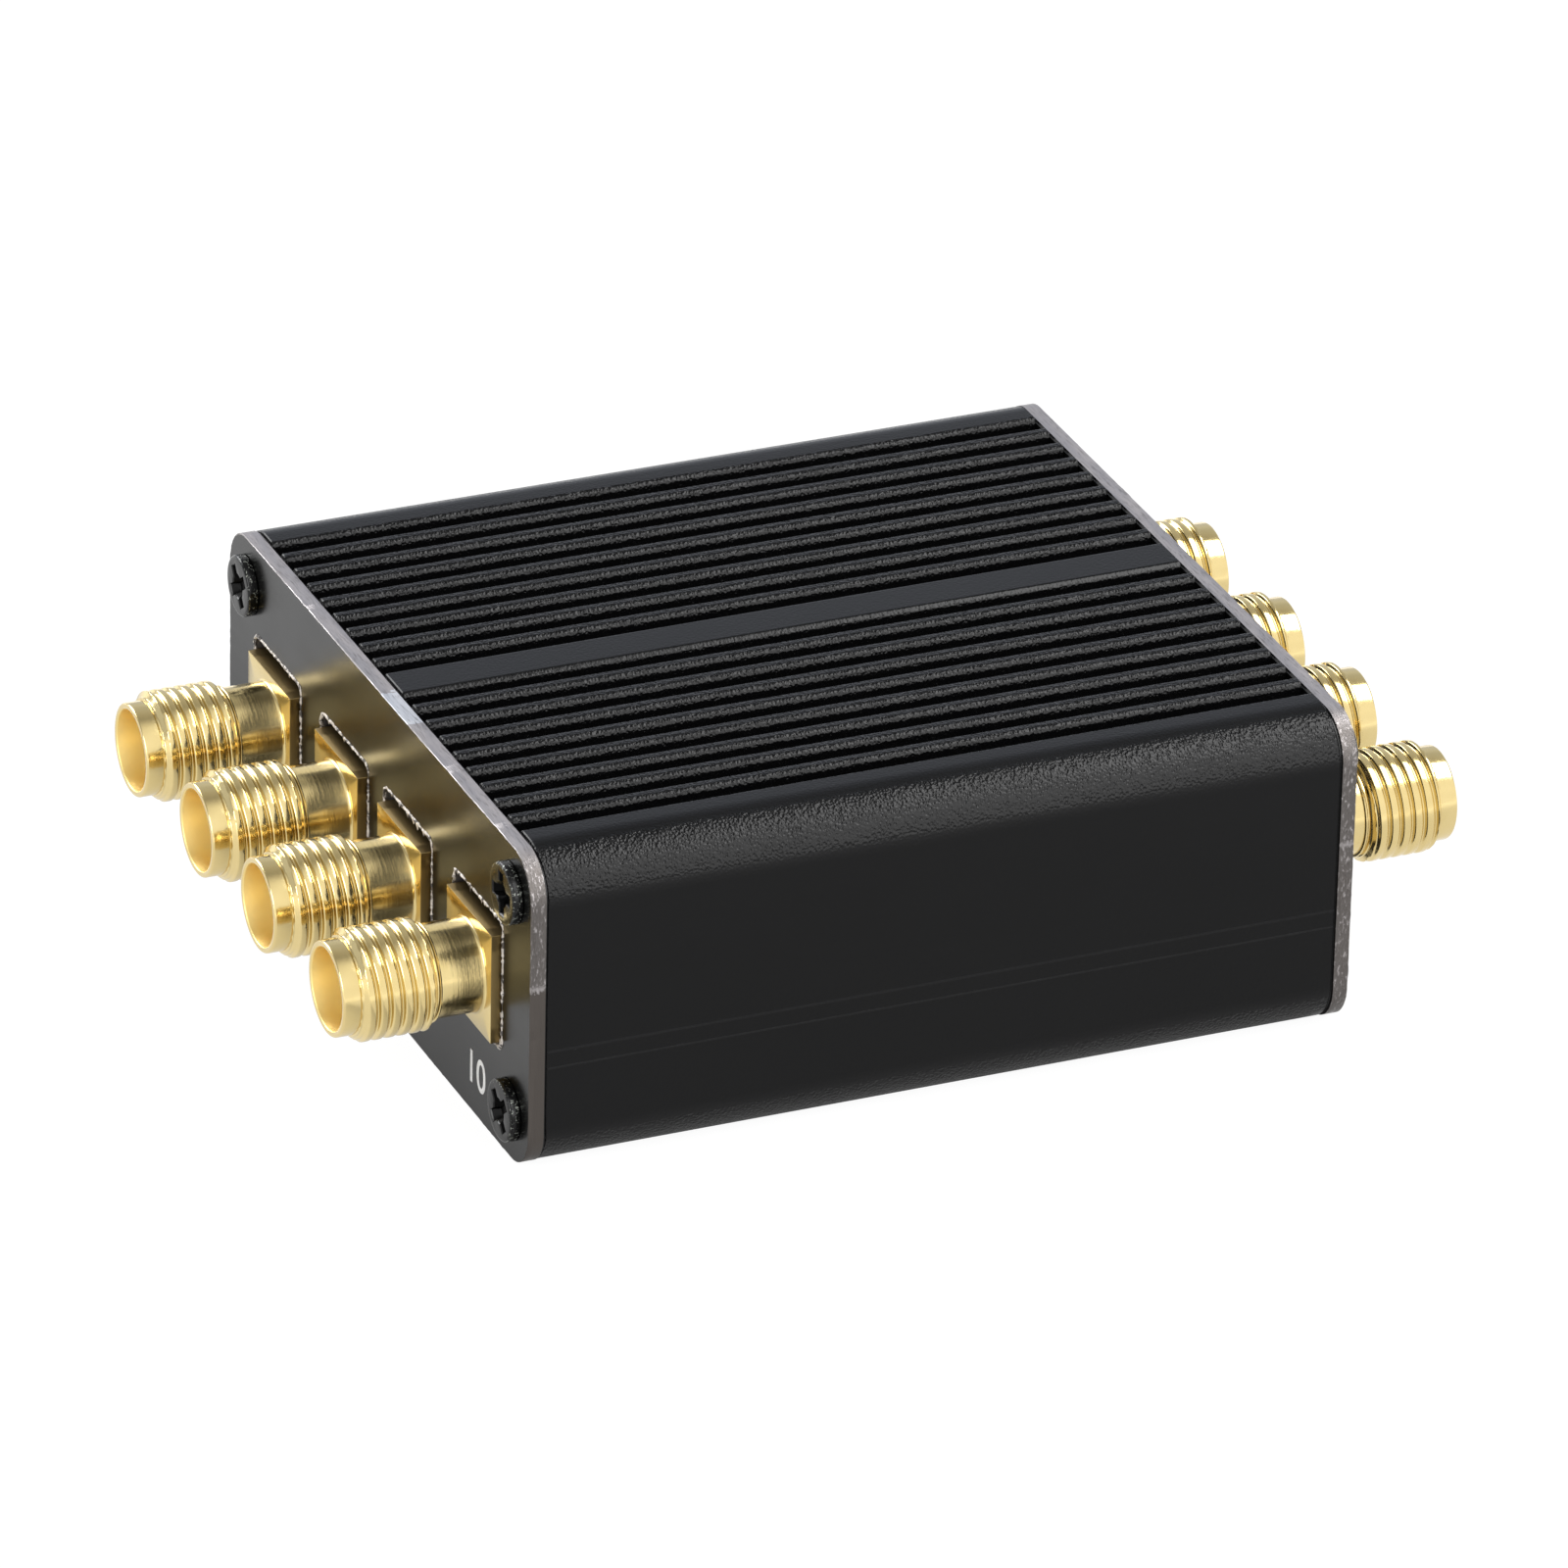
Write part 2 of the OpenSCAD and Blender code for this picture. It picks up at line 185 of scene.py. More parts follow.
grain, streaks, specks, blotches, rub = makeGrain(), makeStreaks(), makeSpecks(), makeBlotches(), makeRub()


def emptyTree(owner):
    owner.use_nodes = True
    owner.node_tree.nodes.clear()
    return owner.node_tree


def newMaterial(name):
    material = bpy.data.materials.new(name)
    tree = emptyTree(material)
    return material, tree, node(tree, "ShaderNodeTexCoord").outputs["Object"]


def shaded(material, inputs):
    tree = material.node_tree
    shader = node(tree, "ShaderNodeBsdfPrincipled", inputs)
    node(tree, "ShaderNodeOutputMaterial", {"Surface": shader.outputs[0]})
    return material


def bump(tree, height, distance, before=None):
    made = node(tree, "ShaderNodeBump", {"Height": height, "Distance": distance, "Strength": 1.0})
    if before is not None:
        put(tree, made.inputs["Normal"], before)
    return made.outputs[0]


def axes(tree, spot):
    split = node(tree, "ShaderNodeSeparateXYZ", {0: spot})
    return split.outputs[0], split.outputs[1], split.outputs[2]


def band(tree, value, middle, half):  # 1 at middle, down to 0 at half away
    return remap(tree, calc(tree, "ABSOLUTE", calc(tree, "SUBTRACT", value, middle)), half, 0.0)


# Mesh helpers. Meshes are built in millimetres and scaled when the piece is made.
def toMesh(name, bm, sharp=35):  # gives the mesh in metres, smooth but for edges over this many degrees
    bmesh.ops.recalc_face_normals(bm, faces=bm.faces)
    for face in bm.faces:
        face.smooth = True
    for edge in bm.edges:
        sides = edge.link_faces
        edge.smooth = (len(sides) == 2 and sides[0].material_index == sides[1].material_index
                       and edge.calc_face_angle(0.0) < math.radians(sharp))
    bm.transform(Matrix.Scale(mm, 4))
    mesh = bpy.data.meshes.new(name)
    bm.to_mesh(mesh)
    bm.free()
    return mesh


def addObject(name, data):
    made = bpy.data.objects.new(name, data)
    scene.collection.objects.link(made)
    return made


def placeMesh(name, mesh, materials, replaces, place=None):
    if not mesh.materials:
        for material in materials:
            mesh.materials.append(material)
    piece = addObject(name, mesh)
    if place is not None:
        piece.matrix_world = place
    flat = piece.modifiers.new("flatFaces", "WEIGHTED_NORMAL")  # big faces stay flat beside small bevels
    flat.keep_sharp = True
    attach(piece, "root")
    if replaces:
        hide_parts(*replaces)
    return piece


def boxMm(name):
    low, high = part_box(name)
    return low / mm, high / mm


def arc(cy, cz, radius, start, end, steps):
    turns = [math.radians(start + (end - start) * i / steps) for i in range(steps + 1)]
    return [(cy + radius * math.cos(a), cz + radius * math.sin(a)) for a in turns]


def quarter(steps):  # evenly spaced angles from 0 to 90 degrees
    return [math.radians(90 * i / steps) for i in range(steps + 1)]


def roundedLoop(low, high, corner, steps, top=()):  # counterclockwise from the bottom right
    (y0, z0), (y1, z1) = (low[0] + corner, low[1] + corner), (high[0] - corner, high[1] - corner)
    return (arc(y1, z0, corner, -90, 0, steps) + arc(y1, z1, corner, 0, 90, steps) + list(top)
            + arc(y0, z1, corner, 90, 180, steps) + arc(y0, z0, corner, 180, 270, steps))


def resample(loop, spacing):  # the same loop with points at an even spacing, corners kept
    made = []
    for i, point in enumerate(loop):
        a, b = Vector(point), Vector(loop[(i + 1) % len(loop)])
        parts = max(1, round((b - a).length / spacing))
        made += [tuple(a.lerp(b, k / parts)) for k in range(parts)]
    return made


def inset(loop, amount):  # draws a counterclockwise loop in, by one amount or by one for each point
    moved = []
    count = len(loop)
    for i in range(count):
        p, a, b = Vector(loop[i]), Vector(loop[i - 1]), Vector(loop[(i + 1) % count])
        before, after = (p - a).normalized(), (b - p).normalized()
        first, second = Vector((-before.y, before.x)), Vector((-after.y, after.x))
        middle = (first + second).normalized()
        by = amount[i] if isinstance(amount, list) else amount
        moved.append(tuple(p + middle * (by / max(0.4, middle.dot(first)))))
    return moved


def sweepX(bm, rings, index=0):  # skins loops of (y, z) that stand at one x, or at an x for each point
    made = []
    for x, loop in rings:
        spots = x if isinstance(x, list) else [x] * len(loop)
        made.append([bm.verts.new((at, y, z)) for at, (y, z) in zip(spots, loop)])
    skin(bm, made, index)
    return made


def skin(bm, rings, index=0):
    for first, second in zip(rings, rings[1:]):
        count = len(first)
        for i in range(count):
            k = (i + 1) % count
            bm.faces.new((first[i], first[k], second[k], second[i])).material_index = index


def cap(bm, rings):  # fills the flat face between loops
    edges = []
    for ring in rings:
        edges += [bm.edges.get((ring[i - 1], ring[i])) or bm.edges.new((ring[i - 1], ring[i]))
                  for i in range(len(ring))]
    bmesh.ops.triangle_fill(bm, use_beauty=True, edges=edges)


def circle(bm, radius, height, steps):
    turns = [2 * math.pi * j / steps for j in range(steps)]
    return [bm.verts.new((radius * math.cos(a), radius * math.sin(a), height)) for a in turns]


def lathe(bm, profile, steps):  # profile points are (radius, height)
    rings = [circle(bm, r, height, steps) for r, height in profile]
    skin(bm, rings)
    return rings


def threadSkin(bm, start, end, pitch, profile, reach, steps):
    # Rows follow the helix, so that each crest is one unbroken edge. profile gives (phase, radius),
    # and reach(height) is the most that the radius may be.
    rows = len(profile)
    total = rows * (int((end - start) / pitch) + 3)
    made = {}

    def at(k, j):
        if j == steps:
            k, j = k + rows, 0
        if (k, j) not in made:
            phase, radius = profile[k % rows]
            height = start + pitch * (k // rows - 1.5 + phase + j / steps)
            height = min(max(height, start), end)
            radius = min(radius, reach(height))
            turn = 2 * math.pi * j / steps
            made[k, j] = bm.verts.new((radius * math.cos(turn), radius * math.sin(turn), height))
        return made[k, j]

    for k in range(total):
        for j in range(steps):
            bm.faces.new((at(k, j), at(k, j + 1), at(k + 1, j + 1), at(k + 1, j)))


def endLoops(name, atX):  # the closed outlines of a CAD node's flat end, in millimetres
    bm = bmesh.new()
    bm.from_mesh(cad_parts[name].data)
    bmesh.ops.remove_doubles(bm, verts=bm.verts, dist=1e-7)
    flat = {f for f in bm.faces if all(abs(v.co.x / mm - atX) < 1e-3 for v in f.verts)}
    nexts = {}
    for e in bm.edges:
        if sum(f in flat for f in e.link_faces) == 1:
            a, b = e.verts
            nexts.setdefault(a, []).append(b)
            nexts.setdefault(b, []).append(a)
    loops, seen = [], set()
    for first in nexts:
        if first in seen:
            continue
        loop, last, here = [], None, first
        while here not in seen:
            seen.add(here)
            loop.append((here.co.y / mm, here.co.z / mm))
            last, here = here, next((v for v in nexts[here] if v is not last and v not in seen), first)
        loops.append(loop)
    bm.free()
    return loops


def area(loop):
    return 0.5 * sum(a[0] * b[1] - b[0] * a[1] for a, b in zip(loop, loop[1:] + loop[:1]))


# Black anodised extrusion
caseFinish = {
    "colour": (0.0031, 0.0031, 0.0034),
    "specular": 0.165,
    "roughness": 0.185,
    "uneven": (0.05, 0.02),  # roughness that blotches and streaks add
    "patchSize": 0.006,
    "drawn": (60.0, 9000.0, 9000.0),  # streaks a metre, along and across
    "drawnDeep": 0.000003,
    "grainCell": 0.00018,
    "grainDeep": 0.00004,
    "flatGrain": 0.2,  # share of the grain on the flat sides and bands
    "bands": (0.0016, 0.0187, 0.0224),  # half the centre band, and where the side bands and the sides begin
    "bandHigh": (0.01875, 0.0189),  # the bands are at the top only
    "dieLines": ((0.0076, 0.00012), (0.0066, 0.00008)),  # height and half width of two faint lines
    "lineColour": (0.016, 0.016, 0.017),
    "lineDeep": 0.000012,
    "dust": (0.55, 0.55, 0.53),
    "dustSpread": {"Spacing": 0.0036, "Radius": 0.00005, "Amount": 0.11},
}


def caseMaterial(f):
    material, tree, spot = newMaterial("blackAnodised")
    _, y, z = axes(tree, spot)
    across = calc(tree, "ABSOLUTE", y)
    pits = useGroup(tree, grain, spot, Cell=f["grainCell"])
    drawn = useGroup(tree, streaks, spot, Stretch=f["drawn"])
    patch = useGroup(tree, blotches, spot, Size=f["patchSize"])
    dust = useGroup(tree, specks, spot, **f["dustSpread"])
    centre, sideBand, side = f["bands"]
    onSide = calc(tree, "GREATER_THAN", across, side)
    lines = times(tree, onSide, calc(tree, "MAXIMUM", *[band(tree, z, *line) for line in f["dieLines"]]))
    colour = mixColour(tree, lines, f["colour"], f["lineColour"], 0.5)
    colour = mixColour(tree, dust["Mask"], colour, f["dust"])
    rough = calc(tree, "MULTIPLY_ADD", patch["Value"], f["uneven"][0], f["roughness"])
    rough = calc(tree, "MULTIPLY_ADD", drawn["Broad"], f["uneven"][1], rough)
    onBand = calc(tree, "GREATER_THAN", across, sideBand)
    onBand = calc(tree, "MAXIMUM", calc(tree, "LESS_THAN", across, centre), onBand)
    onBand = times(tree, onBand, remap(tree, z, *f["bandHigh"]))
    share = calc(tree, "MULTIPLY_ADD", calc(tree, "MAXIMUM", onBand, onSide), f["flatGrain"] - 1.0, 1.0)
    normal = bump(tree, drawn["Height"], f["drawnDeep"])
    normal = bump(tree, lines, f["lineDeep"], normal)
    normal = bump(tree, times(tree, pits["Height"], share), f["grainDeep"], normal)
    return shaded(material, {"Base Color": colour, "Specular IOR Level": f["specular"], "Roughness": rough,
                             "Normal": normal})


caseShape = {
    "cornerRound": 3.0,
    "finPitch": 1.98,
    "finThick": 0.95,
    "finsPerSide": 8,
    "grooveDeep": 1.0,
    "grooveFillet": 0.1,
    "finEdge": 0.37,
    "centreBand": 2.95,
    "sideBandAt": 18.345,  # where the outer bands begin
    "endBevel": 0.06,
    "cornerSteps": 20,
    "edgeSteps": 7,
}


def caseOutline(s, low, high):
    top, floor = high.z, high.z - s["grooveDeep"]
    r, fillet, steps = s["finEdge"], s["grooveFillet"], s["edgeSteps"]

    def edgeUp(y):
        return arc(y + fillet, floor + fillet, fillet, 270, 180, 3) + arc(y - r, top - r, r, 0, 90, steps)

    def edgeDown(y):
        return arc(y + r, top - r, r, 90, 180, steps) + arc(y - fillet, floor + fillet, fillet, 0, -90, 3)

    grooveWide = s["finPitch"] - s["finThick"]
    first = s["centreBand"] / 2 + grooveWide + s["finThick"] / 2
    fins = [(first + i * s["finPitch"], s["finThick"]) for i in range(s["finsPerSide"])]
    points = edgeDown(s["sideBandAt"])
    for y, wide in fins[::-1] + [(0, s["centreBand"])] + [(-y, wide) for y, wide in fins]:
        points += edgeUp(y + wide / 2) + edgeDown(y - wide / 2)
    points += edgeUp(-s["sideBandAt"])
    return roundedLoop((-high.y, low.z), (high.y, top), s["cornerRound"], s["cornerSteps"], points)


def buildCase(s):
    low, high = boxMm("case")
    outline = caseOutline(s, low, high)
    small = inset(outline, s["endBevel"])
    bm = bmesh.new()
    end, bevel = high.x, s["endBevel"]
    outer = sweepX(bm, [(-end, small), (bevel - end, outline), (end - bevel, outline), (end, small)])
    hollows = sorted(endLoops("case", end), key=lambda loop: abs(area(loop)))[:-1]
    inner = [sweepX(bm, [(-end, loop), (end, loop)]) for loop in hollows]
    cap(bm, [outer[0]] + [rings[0] for rings in inner])
    cap(bm, [outer[-1]] + [rings[-1] for rings in inner])
    return placeMesh("Housing", toMesh("case", bm), [caseMaterial(caseFinish)], ["case"])


buildCase(caseShape)
print("case built")


# End panels: satin black sheet with bare metal edges
panelFinish = {
    "colour": (0.0022, 0.0022, 0.0021),
    "specular": 0.25,
    "roughness": 0.21,
    "uneven": (0.04, 0.02),
    "patchSize": 0.004,
    "brushed": (900.0, 350.0, 9000.0),
    "brushedDeep": 0.0000012,
    "grainCell": 0.00012,
    "dust": (0.4, 0.39, 0.36),
    "dustSpread": {"Spacing": 0.0034, "Radius": 0.00006, "Amount": 0.12},
}


def panelFaceMaterial(f):
    material, tree, spot = newMaterial("greyAnodised")
    brushed = useGroup(tree, streaks, spot, Stretch=f["brushed"])
    patch = useGroup(tree, blotches, spot, Size=f["patchSize"])
    pits = useGroup(tree, grain, spot, Cell=f["grainCell"])
    dust = useGroup(tree, specks, spot, **f["dustSpread"])
    rough = calc(tree, "MULTIPLY_ADD", patch["Value"], f["uneven"][0], f["roughness"])
    normal = bump(tree, brushed["Height"], f["brushedDeep"])
    return shaded(material, {
        "Base Color": mixColour(tree, dust["Mask"], f["colour"], f["dust"]),
        "Roughness": calc(tree, "MULTIPLY_ADD", brushed["Broad"], f["uneven"][1], rough),
        "Normal": bump(tree, pits["Height"], f["brushedDeep"], normal),
        "Specular IOR Level": f["specular"],
    })


edgeFinish = {
    "bare": (0.40, 0.375, 0.375),
    "dull": (0.115, 0.105, 0.10),  # upright edges, darker than the top edge: painted shade
    "brown": (0.085, 0.075, 0.068),  # lower part of the front's upright edges, below the break
    "fresh": (0.62, 0.63, 0.655),
    "step": (0.75, 0.74, 0.73),
    "burr": (0.66, 0.61, 0.56),
    "upright": (0.0200, 0.0219),  # distances from the middle over which the edge turns upright
    "breakHigh": 0.0113,
    "breakRagged": 0.0010,
    "lip": (0.0002, 0.00025),  # bright lip over the break: how far above it, and half its height
    "tab": (-0.0044, -0.0006),  # freshly cut length of the front's top edge
    "tabRagged": 0.0005,
    "stepHalf": 0.00005,
    "cut": (9000.0, 900.0, 900.0),
    "cutDeep": 0.00002,
    "fleck": (7000.0, 3500.0, 2600.0),
    "fleckDeep": 0.00006,
}


def bareMetalMaterial(f):
    material, tree, spot = newMaterial("bareAluminium")
    bare, brown = f["bare"], f["brown"]
    x, y, z = axes(tree, spot)
    cut = useGroup(tree, streaks, spot, Stretch=f["cut"])
    fleck = useGroup(tree, streaks, spot, Stretch=f["fleck"])
    patch = useGroup(tree, blotches, spot, Size=0.0013, Detail=4.0)
    front = calc(tree, "LESS_THAN", x, 0.0)
    upright = remap(tree, calc(tree, "ABSOLUTE", y), *f["upright"])
    ragged = calc(tree, "MULTIPLY_ADD", calc(tree, "SUBTRACT", fleck["Height"], 0.5), f["breakRagged"], z)
    below = times(tree, upright, calc(tree, "LESS_THAN", ragged, f["breakHigh"]), front)
    above, half = f["lip"]
    lip = times(tree, band(tree, ragged, f["breakHigh"] + above, half), upright)
    torn = times(tree, upright, calc(tree, "SUBTRACT", 1.0, below))
    light = times(tree, remap(tree, fleck["Height"], 0.53, 0.68), torn)
    # painted shade: the upright edges get a darker tone than the top edge
    colour = mixColour(tree, upright, bare, f["dull"])
    colour = mixColour(tree, below, colour, brown)
    colour = mixColour(tree, light, colour, bare, 0.8)
    colour = mixColour(tree, lip, colour, bare, 0.6)
    low, high = f["tab"]
    shifted = calc(tree, "MULTIPLY_ADD", calc(tree, "SUBTRACT", patch["Value"], 0.5), f["tabRagged"], y)
    tab = times(tree, calc(tree, "GREATER_THAN", shifted, low), calc(tree, "LESS_THAN", shifted, high), front)
    colour = mixColour(tree, tab, colour, f["fresh"])
    step = times(tree, band(tree, y, low, f["stepHalf"]), front)
    colour = mixColour(tree, step, colour, f["step"])
    # browner in the low parts of the cut marks, more so in some patches
    cutLowBrown = calc(tree, "MULTIPLY_ADD", patch["Value"], 0.4, 0.15)
    cutLowBrown = times(tree, remap(tree, cut["Height"], 0.52, 0.36), cutLowBrown)
    normal = bump(tree, cut["Height"], f["cutDeep"])
    normal = bump(tree, times(tree, fleck["Height"], torn), f["fleckDeep"], normal)
    return shaded(material, {
        "Base Color": mixColour(tree, cutLowBrown, colour, brown),
        "Metallic": 1.0,
        "Roughness": calc(tree, "MULTIPLY_ADD", cut["Broad"], 0.15, 0.34),
        "Normal": normal,
    })


def burrMaterial(f):
    material, tree, spot = newMaterial("brokenRim")
    patch = useGroup(tree, blotches, spot, Size=0.0003, Detail=4.0)
    pits = useGroup(tree, grain, spot, Cell=0.0001)
    dark = remap(tree, patch["Value"], 0.5, 0.75)
    return shaded(material, {
        "Base Color": mixColour(tree, dark, f["burr"], f["brown"]),
        "Metallic": 0.25,
        "Roughness": calc(tree, "MULTIPLY_ADD", patch["Value"], 0.2, 0.35),
        "Normal": bump(tree, pits["Height"], 0.00003),
    })


panelShape = {
    "cornerRound": 2.5,
    "seatStep": 0.12,  # the seating face is stepped in all round
    "edgeEase": 0.05,
    "easeLeast": 0.004,
    "edgeEvery": 0.3,  # distance between points round the edge
    "openWide": 7.0,
    "openHigh": 7.5,
    "openMiddle": 9.75,
    "openCorner": 0.45,
    "rimWide": 0.17,  # bare broken rim that stands up round each opening
    "rimHigh": 0.05,
    "rimRagged": 0.09,
    "hangLeast": -0.02,
    "rimSteps": (0.1, 0.02),  # depths below the face at which the rim begins and turns over
    "chips": (0.06, 3),  # how often a piece has broken out of the rim, and how deep
    "rimEvery": 0.1,
    "screwHole": 2.6,
    "screwInset": 2.8,
}
jackYs = [boxMm(f"jack_{n}_insulator") for n in range(1, 5)]
jackYs = [(low.y + high.y) / 2 for low, high in jackYs]


def screwSpots(low, high, by):
    return [(y, z) for y in (low.y + by, high.y - by) for z in (low.z + by, high.z - by)]


def buildPanel(s, name, cadName, side, materials, seed):
    ragged = random.Random(seed)
    low, high = boxMm(cadName)
    inner, outer = sorted((abs(low.x), abs(high.x)))
    bm = bmesh.new()
    edge = resample(roundedLoop((low.y, low.z), (high.y, high.z), s["cornerRound"], 24), s["edgeEvery"])
    walk, ease = 0.0, []
    for _ in edge:
        walk = 0.7 * walk + 0.3 * ragged.uniform(-1, 1)
        uneven = 1 + 1.3 * walk + 0.5 * ragged.uniform(-1, 1)
        ease.append(max(s["easeLeast"], s["edgeEase"] * uneven))
    seat, seatX = inset(edge, s["seatStep"]), side * (inner + s["seatStep"])
    backs = sweepX(bm, [(side * inner, seat), (seatX, seat), (seatX, edge)])[:1]
    fronts = sweepX(bm, [(seatX, edge), (side * (outer - s["edgeEase"] * 0.6), edge),
                         (side * outer, inset(edge, ease))], 1)[-1:]
    rimX, turnX = (side * (outer - depth) for depth in s["rimSteps"])
    chance, chipped = s["chips"]
    for y in jackYs:
        w, h = s["openWide"] / 2, s["openHigh"] / 2
        loop = roundedLoop((y - w, s["openMiddle"] - h), (y + w, s["openMiddle"] + h), s["openCorner"], 5)
        loop = resample(loop, s["rimEvery"])
        wide, tall, hang, walk = [], [], [], 0.0
        for _ in loop:
            walk = 0.6 * walk + 0.4 * ragged.uniform(-1, 1)
            wide.append(-s["rimWide"] - s["rimRagged"] * (walk + ragged.uniform(-0.4, 0.4)))
            tall.append(side * (outer + s["rimHigh"] * (1 + 1.2 * walk + ragged.uniform(-0.6, 0.6))))
            torn = 1.6 * walk + ragged.uniform(-0.7, 0.7) + chipped * (ragged.random() < chance)
            hang.append(max(s["hangLeast"], s["rimRagged"] * torn))
        backs.append(sweepX(bm, [(side * inner, loop), (rimX, loop)], 1)[0])
        crest = [(tall, inset(loop, [part * w for w in wide])) for part in (0.25, 0.6)]
        foot = (side * outer, inset(loop, wide))
        fronts.append(sweepX(bm, [(rimX, loop), (turnX, inset(loop, hang)), *crest, foot], 2)[-1])
    for y, z in screwSpots(low, high, s["screwInset"]):
        loop = arc(y, z, s["screwHole"] / 2, 0, 360 - 360 / 32, 31)
        rings = sweepX(bm, [(side * inner, loop), (side * outer, loop)], 1)
        backs.append(rings[0])
        fronts.append(rings[-1])
    cap(bm, backs)
    cap(bm, fronts)
    return placeMesh(name, toMesh(name, bm), materials, [cadName])


panelMaterials = [panelFaceMaterial(panelFinish), bareMetalMaterial(edgeFinish), burrMaterial(edgeFinish)]
buildPanel(panelShape, "FrontPanel", "front_panel", -1, panelMaterials, 11)
buildPanel(panelShape, "RearPanel", "rear_panel", 1, panelMaterials, 12)
print("end panels built")


# Port numbers in thin white ink below the jacks. They read the right way up when the fins face down.
numberInk = {
    "high": 2.0,
    "middle": 3.0,
    "thick": 0.012,
    "bold": 0.02,
    "colour": (0.85, 0.86, 0.86),
    "thin": (0.55, 0.55, 0.55),  # where the ink is thin
}


def numberMaterial(s):
    material, tree, spot = newMaterial("whiteInk")
    patch = useGroup(tree, blotches, spot, Size=0.0004, Detail=3.0)
    colour = mixColour(tree, patch["Value"], s["colour"], s["thin"], 0.25)
    return shaded(material, {"Base Color": colour, "Roughness": 0.5})


def buildNumbers(s, name, side, numbers, faceX, material):
    bm = bmesh.new()
    for y, number in zip(jackYs, numbers):
        text = bpy.data.curves.new("number", "FONT")
        text.body, text.align_x, text.align_y = f"{number:02}", "CENTER", "CENTER"
        text.size, text.extrude, text.offset = s["high"] * 1.4, s["thick"] / 2, s["bold"]
        holder = addObject("number", text)
        mesh = bpy.data.meshes.new_from_object(holder.evaluated_get(bpy.context.evaluated_depsgraph_get()))
        bpy.data.objects.remove(holder)
        turn = Matrix(((0, 0, side), (-side, 0, 0), (0, -1, 0))).to_4x4()
        mesh.transform(Matrix.Translation((side * (faceX + s["thick"] / 2), y, s["middle"])) @ turn)
        bm.from_mesh(mesh)
        bpy.data.meshes.remove(mesh)
    return placeMesh(name, toMesh(name, bm), [material], ())


ink = numberMaterial(numberInk)
panelFaceX = boxMm("rear_panel")[1].x
buildNumbers(numberInk, "FrontNumbers", -1, (1, 2, 3, 4), panelFaceX, ink)
buildNumbers(numberInk, "RearNumbers", 1, (5, 6, 7, 8), panelFaceX, ink)
print("port numbers built")


# Panel screws
screwFinish = {
    "colour": (0.0025, 0.0025, 0.0025),
    "specular": 0.25,
    "recessShadeSpecular": 0.03,  # less reflection down in the recess: painted shade
    "sunk": (0.00053, 0.0016),  # the recess is below this height and within this radius
    "roughness": 0.2,
    "rubbed": (0.34, 0.36, 0.32),
    "rubbedRim": (0.0012, 0.0017),  # radii between which the rubbing sets in
    "rubSpread": {"Size": 0.0002, "Amount": 0.37},
    "grainCell": 0.00018,
    "grainDeep": 0.000002,
}


def screwMaterial(f):
    material, tree, spot = newMaterial("blackSteel")
    x, y, z = axes(tree, spot)
    away = fromAxis(tree, x, y)
    rim = times(tree, remap(tree, away, *f["rubbedRim"]), remap(tree, z, -0.00005, 0.00005))
    offset = node(tree, "ShaderNodeObjectInfo").outputs["Random"]
    moved = node(tree, "ShaderNodeVectorMath", {0: spot, 1: offset}, operation="ADD").outputs[0]
    worn = useGroup(tree, rub, moved, Edge=rim, **f["rubSpread"])["Mask"]
    pits = useGroup(tree, grain, moved, Cell=f["grainCell"])
    height, within = f["sunk"]
    sunk = times(tree, calc(tree, "LESS_THAN", z, height), calc(tree, "LESS_THAN", away, within))
    # painted shade: less reflection down in the recess
    less = f["recessShadeSpecular"] - f["specular"]
    return shaded(material, {
        "Base Color": mixColour(tree, worn, f["colour"], f["rubbed"]),
        "Metallic": times(tree, worn, 0.6),
        "Roughness": calc(tree, "MULTIPLY_ADD", worn, 0.16, f["roughness"]),
        "Specular IOR Level": calc(tree, "MULTIPLY_ADD", sunk, less, f["specular"]),
        "Normal": bump(tree, pits["Height"], f["grainDeep"]),
    })


screwShape = {
    "steps": 48,
    "headRound": 1.75,
    "headDome": 0.2,
    "headHigh": 0.6,
    "rimHigh": 0.45,
    "shank": 1.0,
    "core": 0.78,
    "pitch": 0.4,
    "long": 7.0,
    "tip": 0.8,
    "tipEase": 0.18,
    "barLong": 2.7,
    "barWide": 0.72,
    "barDeep": 0.5,
    "barEase": 0.035,
    "hollow": 0.78,  # round hollow in the middle of the cross
    "turns": (40, 4, 24, 34, 65, 10, 52, 80),  # how far each recess is turned
}


def loose(name, bm):  # an object that isn't a piece
    bmesh.ops.recalc_face_normals(bm, faces=bm.faces)
    mesh = bpy.data.meshes.new(name)
    bm.to_mesh(mesh)
    bm.free()
    return addObject(name, mesh)


def carve(name, body, cutters, ease=0.0):  # cuts the cutters out, eases the edges and gives the mesh
    for cutter in cutters:
        cut = body.modifiers.new("cut", "BOOLEAN")
        cut.operation, cut.object, cut.solver = "DIFFERENCE", cutter, "EXACT"
    if ease:
        soft = body.modifiers.new("ease", "BEVEL")
        soft.width, soft.segments, soft.limit_method, soft.angle_limit = ease, 2, "ANGLE", math.radians(40)
    bm = bmesh.new()
    bm.from_object(body, bpy.context.evaluated_depsgraph_get())
    for gone in (body, *cutters):
        bpy.data.objects.remove(gone)
    return toMesh(name, bm)


